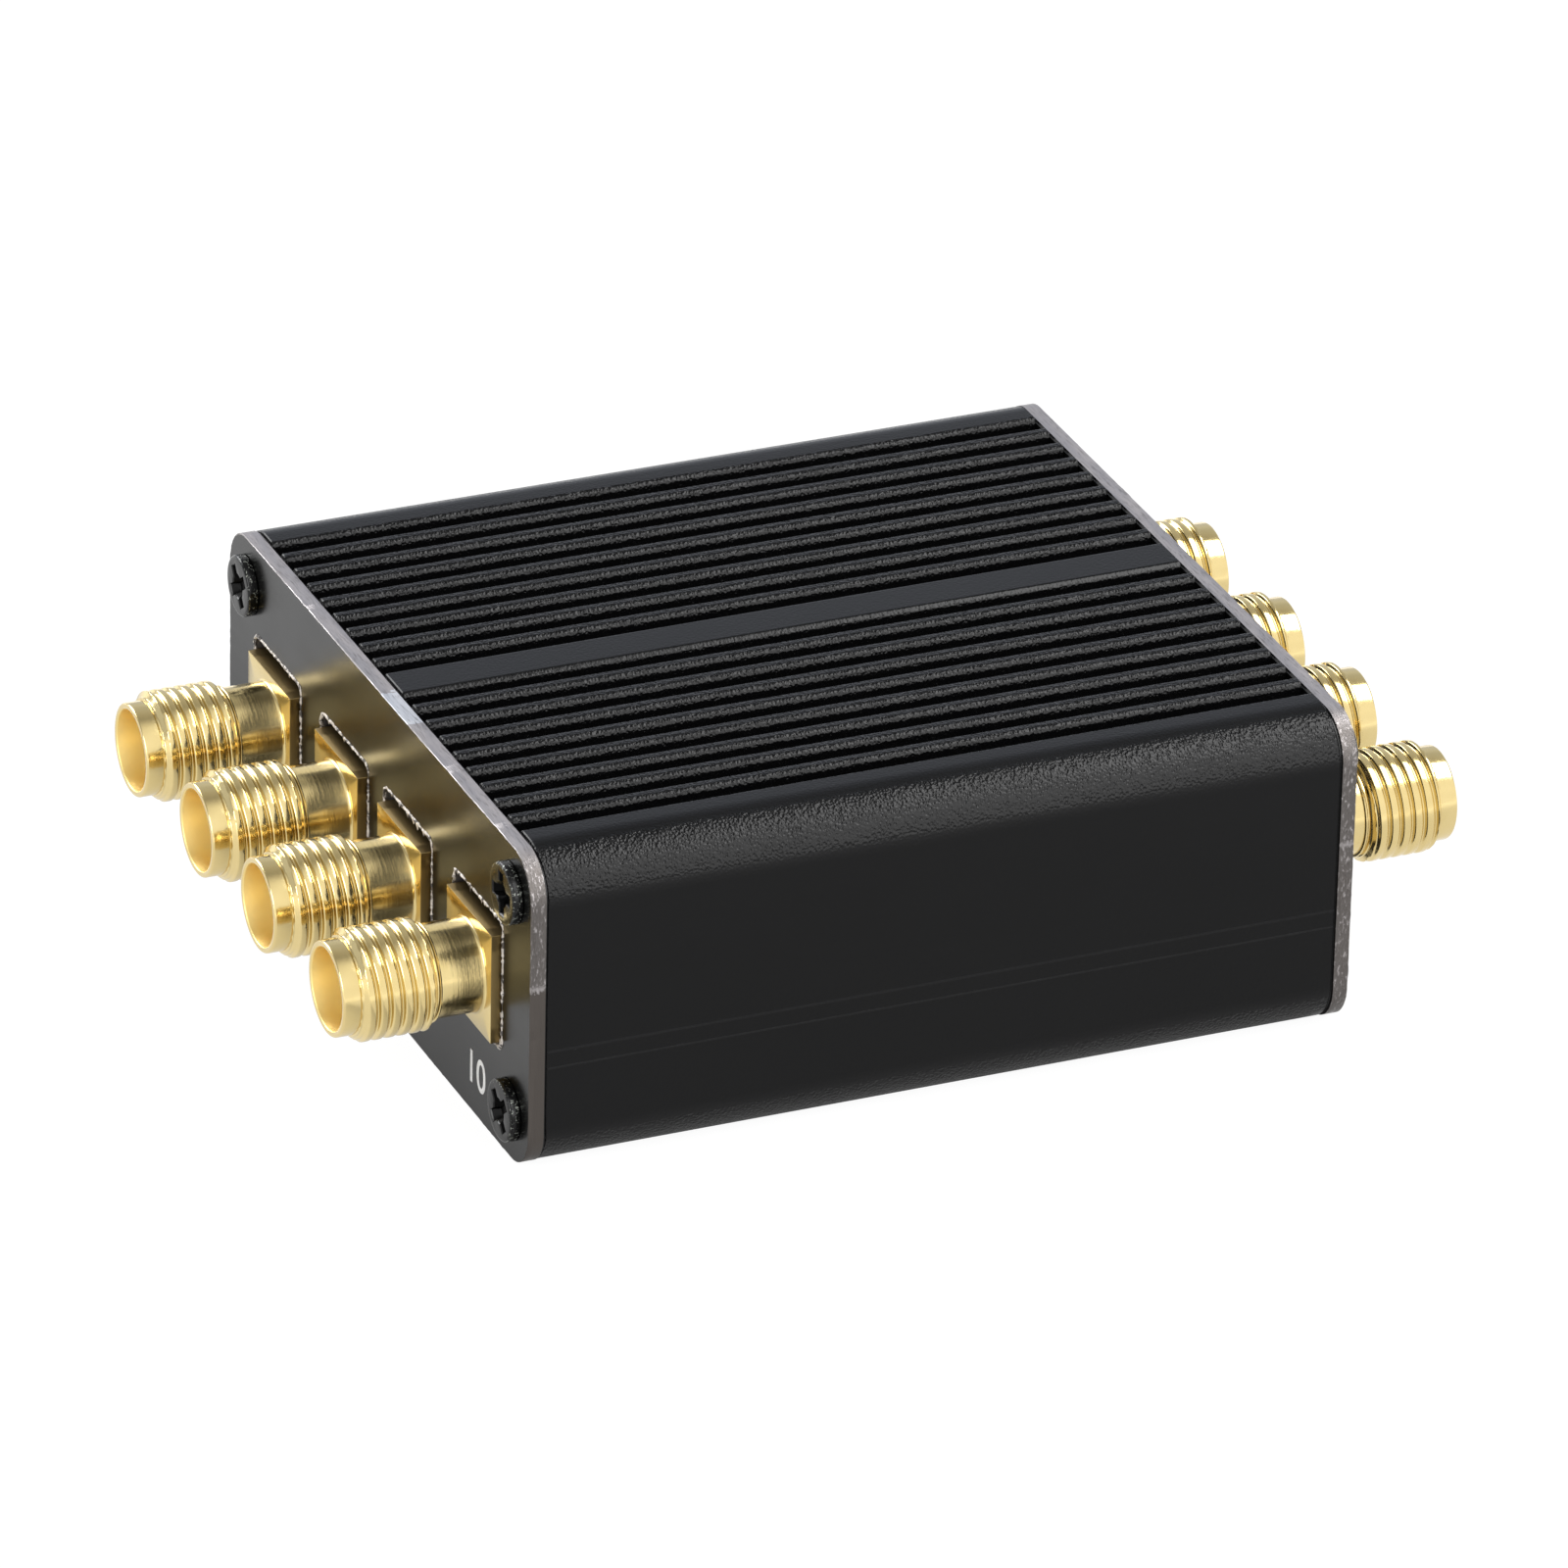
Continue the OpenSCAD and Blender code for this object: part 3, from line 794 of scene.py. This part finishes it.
def screwMesh(s):
    bm = bmesh.new()
    steps, shank, core, end = s["steps"], s["shank"], s["core"], -s["long"]
    edge = [(s["headRound"] - s["headDome"] * (1 - math.cos(a)),
             s["rimHigh"] + (s["headHigh"] - s["rimHigh"]) * math.sin(a)) for a in quarter(6)]
    head = [(core, 0.0), (s["headRound"] - 0.04, 0.0), (s["headRound"], 0.05)] + edge
    cap(bm, lathe(bm, head, steps)[-1:])
    profile = [(0.0, shank), (0.1, shank - 0.01), (0.42, core + 0.01), (0.55, core), (0.68, core + 0.01),
               (0.92, shank - 0.01)]

    def reach(height):
        if height < end + 0.001:
            return core - s["tipEase"]
        narrowing = shank - 0.4 * max(0.0, (s["tip"] - (height - end)) / s["tip"])
        return core if height > -0.001 else narrowing

    threadSkin(bm, end, 0.0, s["pitch"], profile, reach, steps)
    bm.faces.new(circle(bm, core - s["tipEase"], end, steps))
    bmesh.ops.remove_doubles(bm, verts=bm.verts, dist=1e-5)
    cutters, corners = [], ((-1, -1), (1, -1), (1, 1), (-1, 1))
    long, wide = s["barLong"] / 2, s["barWide"] / 2
    top, bottom = s["headHigh"] + 0.3, s["headHigh"] - s["barDeep"]
    for turn in (0, 90):
        bar = bmesh.new()
        upper = [bar.verts.new((x * (long + 0.12), y * (wide + 0.06), top)) for x, y in corners]
        lower = [bar.verts.new((x * long * 0.68, y * wide * 0.7, bottom)) for x, y in corners]
        skin(bar, [upper, lower])
        bar.faces.new(upper)
        bar.faces.new(lower)
        bar.transform(Matrix.Rotation(math.radians(turn), 4, "Z"))
        cutters.append(loose("bar", bar))
    hollow = bmesh.new()
    rings = lathe(hollow, [(s["hollow"] * 0.4, bottom - 0.05), (s["hollow"], s["headHigh"]),
                           (s["hollow"] * 1.1, s["headHigh"] + 0.2)], 24)
    hollow.faces.new(rings[0])
    hollow.faces.new(rings[-1])
    cutters.append(loose("hollow", hollow))
    return carve("panelScrew", loose("screw", bm), cutters, s["barEase"])


def buildScrews(s):
    material, mesh = screwMaterial(screwFinish), screwMesh(s)
    spots = screwSpots(*boxMm("front_panel"), panelShape["screwInset"])
    for i, degrees in enumerate(s["turns"]):
        side, (y, z) = (-1, 1)[i // 4], spots[i % 4]
        place = Matrix.Translation(Vector((side * panelFaceX, y, z)) * mm)
        for turn, axis in ((side * math.pi / 2, "Y"), (math.radians(degrees), "Z")):
            place = place @ Matrix.Rotation(turn, 4, axis)
        placeMesh(f"PanelScrew{i + 1}", mesh, [material], ["panel_screws"], place)


buildScrews(screwShape)
print("panel screws built")


# Gold-plated jack shells
goldFinish = {
    "colour": (0.72, 0.575, 0.275),
    "deep": (0.64, 0.49, 0.20),
    # painted light: warmer, brighter gold inside the mouth stands in for light bouncing round in it
    "mouth": (0.84, 0.65, 0.26),
    "mouthRough": 0.45,
    "roughness": 0.13,
    "barrelRough": 0.04,
    "sawn": 0.4,  # roughness of the flange's sides
    # darker, browner colour on the flange's sides
    "flangeSideColour": (0.25, 0.18, 0.075),
    "flangeTo": (0.00161, 0.00322),  # height of the flange, and the distance at which its sides begin
    "barrel": (0.0029, 0.0016),  # middle and half length
    "mouthIn": (0.00235, 0.0078),  # the mouth is within this radius and above this height
    "turned": (140.0, 140.0, 9000.0),
    "turnedDeep": 0.000008,
    "turnedShare": (0.6, 0.15),  # how much the barrel has more than the rest, and what the rest has
    "patch": {"Size": 0.0016, "Detail": 3.0},
    "grainCell": 0.00022,
    "grainDeep": 0.0000015,
}


def goldMaterial(f):
    material, tree, spot = newMaterial("goldPlate")
    x, y, z = axes(tree, spot)
    turned = useGroup(tree, streaks, spot, Stretch=f["turned"])
    patch = useGroup(tree, blotches, spot, **f["patch"])
    pits = useGroup(tree, grain, spot, Cell=f["grainCell"])
    square = calc(tree, "MAXIMUM", calc(tree, "ABSOLUTE", x), calc(tree, "ABSOLUTE", y))
    onFlange = calc(tree, "LESS_THAN", z, f["flangeTo"][0])
    offFlange = calc(tree, "SUBTRACT", 1.0, onFlange)
    sawn = times(tree, onFlange, calc(tree, "GREATER_THAN", square, f["flangeTo"][1]))
    onBarrel = times(tree, band(tree, z, *f["barrel"]), offFlange)
    within, above = f["mouthIn"]
    inMouth = calc(tree, "LESS_THAN", fromAxis(tree, x, y), within)
    inMouth = times(tree, inMouth, calc(tree, "GREATER_THAN", z, above))
    colour = mixColour(tree, patch["Value"], f["colour"], f["deep"], 0.35)
    # painted light: warmer, brighter gold inside the mouth, for the light that bounces round in it
    colour = mixColour(tree, inMouth, colour, f["mouth"], 0.85)
    colour = mixColour(tree, sawn, colour, f["flangeSideColour"])
    rough = calc(tree, "MULTIPLY_ADD", turned["Broad"], 0.05, f["roughness"])
    rough = calc(tree, "MULTIPLY_ADD", onBarrel, f["barrelRough"], rough)
    rough = calc(tree, "MAXIMUM", rough, times(tree, sawn, f["sawn"]))
    rough = calc(tree, "MAXIMUM", rough, times(tree, inMouth, f["mouthRough"]))
    marks = times(tree, turned["Height"], calc(tree, "MULTIPLY_ADD", onBarrel, *f["turnedShare"]), offFlange)
    normal = bump(tree, marks, f["turnedDeep"])
    return shaded(material, {
        "Base Color": colour,
        "Metallic": 1.0,
        "Roughness": rough,
        "Normal": bump(tree, pits["Height"], f["grainDeep"], normal),
    })


jackShape = {
    "steps": 96,
    "long": 9.75,  # from the flange's back to the lip
    "flangeHalf": 3.25,
    "flangeThick": 1.6,
    "flangeEase": 0.04,
    "barrel": 2.6,
    "fillet": 0.18,
    # two turned rings behind the thread: height over the barrel, and distance from threadFrom
    "rings": ((0.0, -0.05), (0.13, -0.02), (0.16, 0.05), (0.12, 0.11), (0.05, 0.14), (0.05, 0.22),
              (0.17, 0.25), (0.21, 0.31), (0.17, 0.38)),
    "runOut": 0.25,  # length over which the thread rises from the rings
    "threadFrom": 4.18,
    "threadTo": 8.78,
    "thread": 3.125,
    "threadDeep": 0.21,
    "pitch": 0.7056,  # 36 turns an inch
    "chamfer": 0.34,
    "leadStep": 0.13,  # turned step in the chamfer, in height and in depth
    "collar": 2.65,
    "lipEase": 0.12,
    "mouth": 2.3,
    "mouthEase": ((0.09, 0.0), (0.03, 0.03), (0.0, 0.09)),
    "mouthDeep": 1.9,
    "bore": 2.06,
    "legs": (-0.42, -3.02),  # undersides of the upper and lower legs, from the axis
    "legSide": 2.65,
    "legLong": 4.5,
    "legEase": 0.06,
}


def squareRing(bm, half, height, steps, corner=0.06):
    points = []
    for j in range(steps):
        turn = 2 * math.pi * j / steps
        x, y = math.cos(turn), math.sin(turn)
        reach = half / max(abs(x), abs(y))
        points.append([x * reach, y * reach])
    for j in range(steps // 8, steps, steps // 4):  # three points round each corner
        x, y = (math.copysign(1, p) for p in points[j])
        first, second = (half, half - corner), (half - corner, half)
        if x * y < 0:
            first, second = second, first
        eased = half - corner * 0.29
        points[j - 1] = [x * first[0], y * first[1]]
        points[j] = [x * eased, y * eased]
        points[(j + 1) % steps] = [x * second[0], y * second[1]]
    return [bm.verts.new((x, y, height)) for x, y in points]


def shellMesh(s):
    bm = bmesh.new()
    steps, r, top, deep, collar = s["steps"], s["barrel"], s["thread"], s["threadDeep"], s["collar"]
    face, ease = s["flangeThick"], s["flangeEase"]
    back = circle(bm, s["bore"], 0, steps)
    turnIn = ((ease, 0), (ease * 0.29, ease * 0.29), (0, ease))  # how far in and how high the rounded edge is
    squares = [squareRing(bm, s["flangeHalf"] - drop, height, steps) for drop, height in turnIn]
    squares += [squareRing(bm, s["flangeHalf"] - drop, face - height, steps) for drop, height in turnIn[::-1]]
    root = [(r + s["fillet"] * (1 - math.sin(a)), face + s["fillet"] * (1 - math.cos(a))) for a in quarter(4)]
    behind = [(r + out, s["threadFrom"] + at) for out, at in s["rings"]]
    rings = lathe(bm, root + [(r, s["threadFrom"] - 1.4)] + behind, steps)
    skin(bm, [back] + squares + [rings[0]])
    # broad, nearly flat crests with narrow rounded valleys
    depths = [deep * 0.03 * (i / 5) ** 2 if i < 5 else deep * (0.5 - 0.47 * math.cos(math.pi * (i - 5) / 7))
              for i in range(13)]
    profile = [(i / 24, top - depths[min(i, 24 - i)]) for i in range(24)]
    ringTop, start = behind[-1]
    step = s["leadStep"]

    def reach(height):
        rise = ringTop + (top - r) * (height - start) / s["runOut"]
        front = s["threadTo"] - height
        if front < step:
            return min(rise, collar + step * min(1, front / 0.03))
        lead = (top - collar - step) * (front - step) / (s["chamfer"] - step)
        return min(top, rise, collar + step + lead)

    threadSkin(bm, start, s["threadTo"], s["pitch"], profile, reach, steps)
    tip, lip = s["long"], s["lipEase"]
    nose = [(collar, s["threadTo"]), (collar, s["threadTo"] + 0.12)]
    nose += [(collar - lip * (1 - math.cos(a)), tip - lip * (1 - math.sin(a))) for a in quarter(4)]
    nose += [(s["mouth"] + out, tip - down) for out, down in s["mouthEase"]]
    nose += [(s["mouth"], tip - s["mouthDeep"]), (s["bore"], tip - s["mouthDeep"])]
    skin(bm, [lathe(bm, nose, steps)[-1], back])
    bmesh.ops.remove_doubles(bm, verts=bm.verts, dist=1e-5)
    for side in (-1, 1):
        for low in s["legs"]:
            made = bmesh.ops.create_cube(bm, size=1.0)["verts"]
            place = Matrix.Translation((low + 0.5, side * s["legSide"], -s["legLong"] / 2 + 0.01))
            bmesh.ops.transform(bm, verts=made, matrix=place @ Matrix.Diagonal((1, 1, s["legLong"], 1)))
            edges = list({e for v in made for e in v.link_edges})
            bmesh.ops.bevel(bm, geom=edges, offset=s["legEase"], segments=2, affect="EDGES", profile=0.5)
    return toMesh("jackShell", bm, 40)


def jackPlace(n):  # local Z points out of the panel, local X up
    low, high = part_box(f"jack_{n}_insulator")
    side, back = (-1, high.x) if n <= 4 else (1, low.x)
    turn = Matrix(((0, 0, side), (0, -side, 0), (1, 0, 0))).to_4x4()
    return Matrix.Translation((back, (low.y + high.y) / 2, (low.z + high.z) / 2)) @ turn


# Insulators and centre contacts
insulatorShape = {"round": 2.05, "hole": 0.645, "long": 7.85, "ease": 0.07, "steps": 48}
insulatorFinish = {"colour": (0.80, 0.79, 0.76), "dull": (0.72, 0.70, 0.65), "turned": (400.0, 400.0, 9000.0)}
contactShape = {
    "steps": 48,
    "socket": 0.635,
    "bore": 0.475,
    "boreDeep": 3.0,
    "slotWide": 0.15,
    "slotLong": 2.2,
    "pin": 0.4,
    "pinLong": 2.5,
}


def ptfeMaterial(f):
    material, tree, spot = newMaterial("whitePtfe")
    patch = useGroup(tree, blotches, spot, Size=0.0012, Detail=3.0)["Value"]
    turned = useGroup(tree, streaks, spot, Stretch=f["turned"])
    return shaded(material, {
        "Base Color": mixColour(tree, patch, f["colour"], f["dull"], 0.3),
        "Specular IOR Level": 0.35,
        "Roughness": calc(tree, "MULTIPLY_ADD", patch, 0.1, 0.4),
        "Subsurface Weight": 0.15,
        "Subsurface Scale": 0.0008,
        "Normal": bump(tree, turned["Height"], 0.000004),
    })


def insulatorMesh(s):
    bm = bmesh.new()
    r, hole, long, e = s["round"], s["hole"], s["long"], s["ease"]
    rings = lathe(bm, [(hole, e), (hole + e, 0), (r - e, 0), (r, e), (r, long - e), (r - e, long),
                       (hole + e, long), (hole, long - e)], s["steps"])
    skin(bm, [rings[-1], rings[0]])
    return toMesh("jackInsulator", bm)


def contactMesh(s, long):
    bm = bmesh.new()
    r, bore, pin, e = s["socket"], s["bore"], s["pin"], 0.06
    outside = [(pin - 0.1, -s["pinLong"]), (pin, 0.12 - s["pinLong"]), (pin, 0.0), (r - e, 0.0), (r, e)]
    outside += [(r, long - e), (r - e, long)]
    inside = [(bore + 0.05, long), (bore, long - 0.08), (bore, long - s["boreDeep"])]
    rings = lathe(bm, outside + inside, s["steps"])
    for ring in (rings[0], rings[-1]):
        bm.faces.new(ring)
    slots = []
    for turn in (0, 90):
        cutter = bmesh.new()
        bmesh.ops.create_cube(cutter, size=1.0)
        middle = Matrix.Translation((0, 0, long - s["slotLong"] / 2 + 0.25))
        size = Matrix.Diagonal((3 * r, s["slotWide"], s["slotLong"] + 0.5, 1))
        cutter.transform(Matrix.Rotation(math.radians(turn), 4, "Z") @ middle @ size)
        slots.append(loose("slot", cutter))
    return carve("jackContact", loose("contact", bm), slots)


gold, ptfe = goldMaterial(goldFinish), ptfeMaterial(insulatorFinish)
shell, insulator = shellMesh(jackShape), insulatorMesh(insulatorShape)
contact = contactMesh(contactShape, insulatorShape["long"])
goldPieces = []
for n in range(1, 9):
    place = jackPlace(n)
    goldPieces.append(placeMesh(f"Jack{n}Shell", shell, [gold], [f"jack_{n}_shell"], place))
    placeMesh(f"Jack{n}Insulator", insulator, [ptfe], [f"jack_{n}_insulator"], place)
    goldPieces.append(placeMesh(f"Jack{n}Contact", contact, [gold], [f"jack_{n}_contact"], place))
print("jacks built")


# Board and filter parts keep their CAD shapes
insideFinish = {  # colour, share of it in darker patches, patch size, roughness, relief
    "greenLaminate": ((0.012, 0.09, 0.035), 0.7, 0.002, 0.3, 0.000004),
    "darkCeramic": ((0.03, 0.028, 0.028), 0.6, 0.0008, 0.4, 0.000003),
    "tanCeramic": ((0.34, 0.22, 0.12), 0.8, 0.0008, 0.45, 0.000003),
}


def plainMaterial(name):
    colour, darker, size, roughness, relief = insideFinish[name]
    material, tree, spot = newMaterial(name)
    patch = useGroup(tree, blotches, spot, Size=size, Detail=3.0)["Value"]
    pits = useGroup(tree, grain, spot, Cell=size / 6)
    return shaded(material, {
        "Base Color": mixColour(tree, patch, colour, [c * darker for c in colour], 0.5),
        "Roughness": calc(tree, "MULTIPLY_ADD", patch, 0.12, roughness),
        "Normal": bump(tree, pits["Height"], relief),
    })


def dress(name, material):
    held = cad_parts[name].data.materials
    held.clear()
    held.append(material)


dress("circuit_board", plainMaterial("greenLaminate"))
ferrite, ceramic = plainMaterial("darkCeramic"), plainMaterial("tanCeramic")
for n in range(1, 5):
    dress(f"channel_{n}_inductors", ferrite)
    dress(f"channel_{n}_capacitors", ceramic)
print("board and parts dressed")


# Studio: white floor and surround with soft boxes. Shiny surfaces see other levels than light matt ones.
studio = {
    "floor": (0.12, 0.7),  # grey of the floor as it is seen, and as matt surfaces see it
    "floorGlow": 0.95,  # what the floor gives off, so that it reads white
    "contact": (0.0194, 0.0236),  # where the floor stops looking dark in reflections
    "far": (0.04, 0.12, 0.5),  # where it grows brighter in reflections, and by how much
    "shade": (-0.034, -0.0245, 0.4),  # where it is dimmer before the front panel, and by how much
    "longer": 0.0016,  # how much further these lie along the case than across it
    "surround": 0.25,  # what the surround lights matt surfaces with
    # soft boxes: offset from the object's middle, size, brightness, and if matt and shiny surfaces see it
    "boxes": {
        "LeftBox": ((-0.255, 0.470, 0.270), (0.39, 0.37), 6.6, True, True),
        "RightBox": ((0.213, -0.390, 0.404), (0.60, 0.34), 3.3, True, True),
        "TopBox": ((0.174, -0.056, 0.258), (0.16, 0.20), 9.0, False, True),
        "LowBox": ((0.19, -0.483, 0.129), (0.60, 0.23), 2.7, False, True),
        "EndBox": ((-0.46, -0.12, 0.13), (0.2, 0.2), 6.5, True, True),
    },
    "flat": ("TopBox",),  # boxes that face straight down
    "offGold": ("RightBox", "LowBox"),  # boxes whose light leaves out the gold, which would glare
    # what shiny surfaces see of the surround: degrees about X from the back over the top, brightness, blueness
    "arch": ((0, 0.72, 1), (29, 0.80, 1), (41, 0.66, 1), (56, 0.62, 0.5), (68, 0.52, 0), (82, 0.42, 0),
             (93, 0.70, 0), (104, 1.05, 0), (119, 1.20, 0), (134, 1.30, 0), (149, 1.35, 0), (164, 1.30, 0),
             (180, 1.35, 0)),
}


def lightPath(tree):  # rays that see the floor and surround as they are, and rays of reflections
    path = node(tree, "ShaderNodeLightPath").outputs
    return calc(tree, "MAXIMUM", path["Is Camera Ray"], path["Is Transmission Ray"]), path["Is Glossy Ray"]


def buildFloor(s):
    bm = bmesh.new()
    bmesh.ops.create_grid(bm, x_segments=1, y_segments=1, size=3.0)
    floor = loose("Floor", bm)
    floor.location.z = cadBox[0].z - 0.00002
    material, tree, spot = newMaterial("whiteFloor")
    seen, glossy = lightPath(tree)
    x, y, _ = axes(tree, spot)
    along = calc(tree, "SUBTRACT", calc(tree, "ABSOLUTE", x), s["longer"])
    away = calc(tree, "MAXIMUM", along, calc(tree, "ABSOLUTE", y))
    *farAt, brighter = s["far"]
    *shadeAt, dimmer = s["shade"]
    shade = times(tree, remap(tree, x, *shadeAt), calc(tree, "LESS_THAN", x, -0.024))
    level = calc(tree, "MULTIPLY_ADD", remap(tree, away, *farAt), brighter, 1.0)
    level = calc(tree, "SUBTRACT", level, times(tree, shade, dimmer))
    level = times(tree, level, remap(tree, away, *s["contact"]), glossy)
    strength = times(tree, calc(tree, "MAXIMUM", level, seen), s["floorGlow"])
    plain, matt = ((grey,) * 3 for grey in s["floor"])
    colour = mixColour(tree, calc(tree, "MAXIMUM", seen, glossy), matt, plain)
    lit = node(tree, "ShaderNodeBsdfDiffuse", {"Color": colour})
    glow = node(tree, "ShaderNodeEmission", {"Strength": strength})
    both = node(tree, "ShaderNodeAddShader", {0: lit.outputs[0], 1: glow.outputs[0]})
    node(tree, "ShaderNodeOutputMaterial", {"Surface": both.outputs[0]})
    floor.data.materials.append(material)


def buildSurround(s):
    world = bpy.data.worlds.new("Surround")
    scene.world = world
    tree = emptyTree(world)
    _, y, z = axes(tree, node(tree, "ShaderNodeTexCoord").outputs["Generated"])
    turn = calc(tree, "DIVIDE", calc(tree, "ARCTAN2", calc(tree, "MAXIMUM", z, 0.0), y), math.pi)
    ramp = node(tree, "ShaderNodeValToRGB", {0: turn})  # holds a quarter of each level, to stay under 1
    stops = ramp.color_ramp.elements
    for i, (degrees, level, blue) in enumerate(s["arch"]):
        stop = stops[i] if i < 2 else stops.new(degrees / 180)
        stop.position = degrees / 180
        stop.color = (level * (1 - 0.05 * blue) / 4, level / 4, level * (1 + 0.11 * blue) / 4, 1)
    seen, glossy = lightPath(tree)
    colour = mixColour(tree, glossy, (0.25,) * 3, ramp.outputs[0])
    level = calc(tree, "MAXIMUM", seen, glossy)
    level = calc(tree, "MULTIPLY_ADD", level, 4 * (1 - s["surround"]), 4 * s["surround"])
    back = node(tree, "ShaderNodeBackground", {"Color": colour, "Strength": level})
    node(tree, "ShaderNodeOutputWorld", {"Surface": back.outputs[0]})


def buildSoftBoxes(s):
    middle = (cadBox[0] + cadBox[1]) / 2
    leftOut = bpy.data.collections.new("LeftOut")
    for piece in goldPieces:
        leftOut.objects.link(piece)
    for entry in leftOut.collection_objects:
        entry.light_linking.link_state = "EXCLUDE"
    for name, (offset, (wide, deep), level, onMatt, onShiny) in s["boxes"].items():
        lamp = bpy.data.lights.new(name, "AREA")
        lamp.shape, lamp.size, lamp.size_y = "RECTANGLE", wide, deep
        lamp.energy = math.pi * wide * deep * level
        box = addObject(name, lamp)
        aim = Vector((0, 0, 1)) if name in s["flat"] else Vector(offset).normalized()
        across = (Vector((1, 0, 0)) - aim * aim.x).normalized()
        turned = Matrix((across, aim.cross(across), aim)).transposed().to_4x4()
        box.matrix_world = Matrix.Translation(middle + Vector(offset)) @ turned
        box.visible_camera, box.visible_diffuse, box.visible_glossy = False, onMatt, onShiny
        if name in s["offGold"]:
            box.light_linking.receiver_collection = leftOut


buildFloor(studio)
buildSurround(studio)
buildSoftBoxes(studio)
print("studio lit")


# Camera at the photograph's angle, far off with a long lens
view = {
    "at": (-0.24727024, -0.56843661, 0.32513779),
    "azimuth": -23.514,
    "elevation": 27.043,
    "roll": 1.325,
    "lens": 289.656,
}


def buildCamera(v):
    az, el, roll = (math.radians(v[k]) for k in ("azimuth", "elevation", "roll"))
    back = Vector((math.sin(az) * math.cos(el), -math.cos(az) * math.cos(el), math.sin(el)))
    right = Vector((math.cos(az), math.sin(az), 0))
    up = back.cross(right)
    turned = right * math.cos(roll) + up * math.sin(roll)
    upright = up * math.cos(roll) - right * math.sin(roll)
    lens = bpy.data.cameras.new("Camera")
    lens.lens, lens.sensor_width, lens.clip_start, lens.clip_end = v["lens"], 36, 0.01, 20
    camera = addObject("Camera", lens)
    camera.matrix_world = Matrix.Translation(v["at"]) @ Matrix((turned, upright, back)).transposed().to_4x4()
    scene.camera = camera


buildCamera(view)
scene.view_settings.view_transform = "Standard"
print("camera placed")
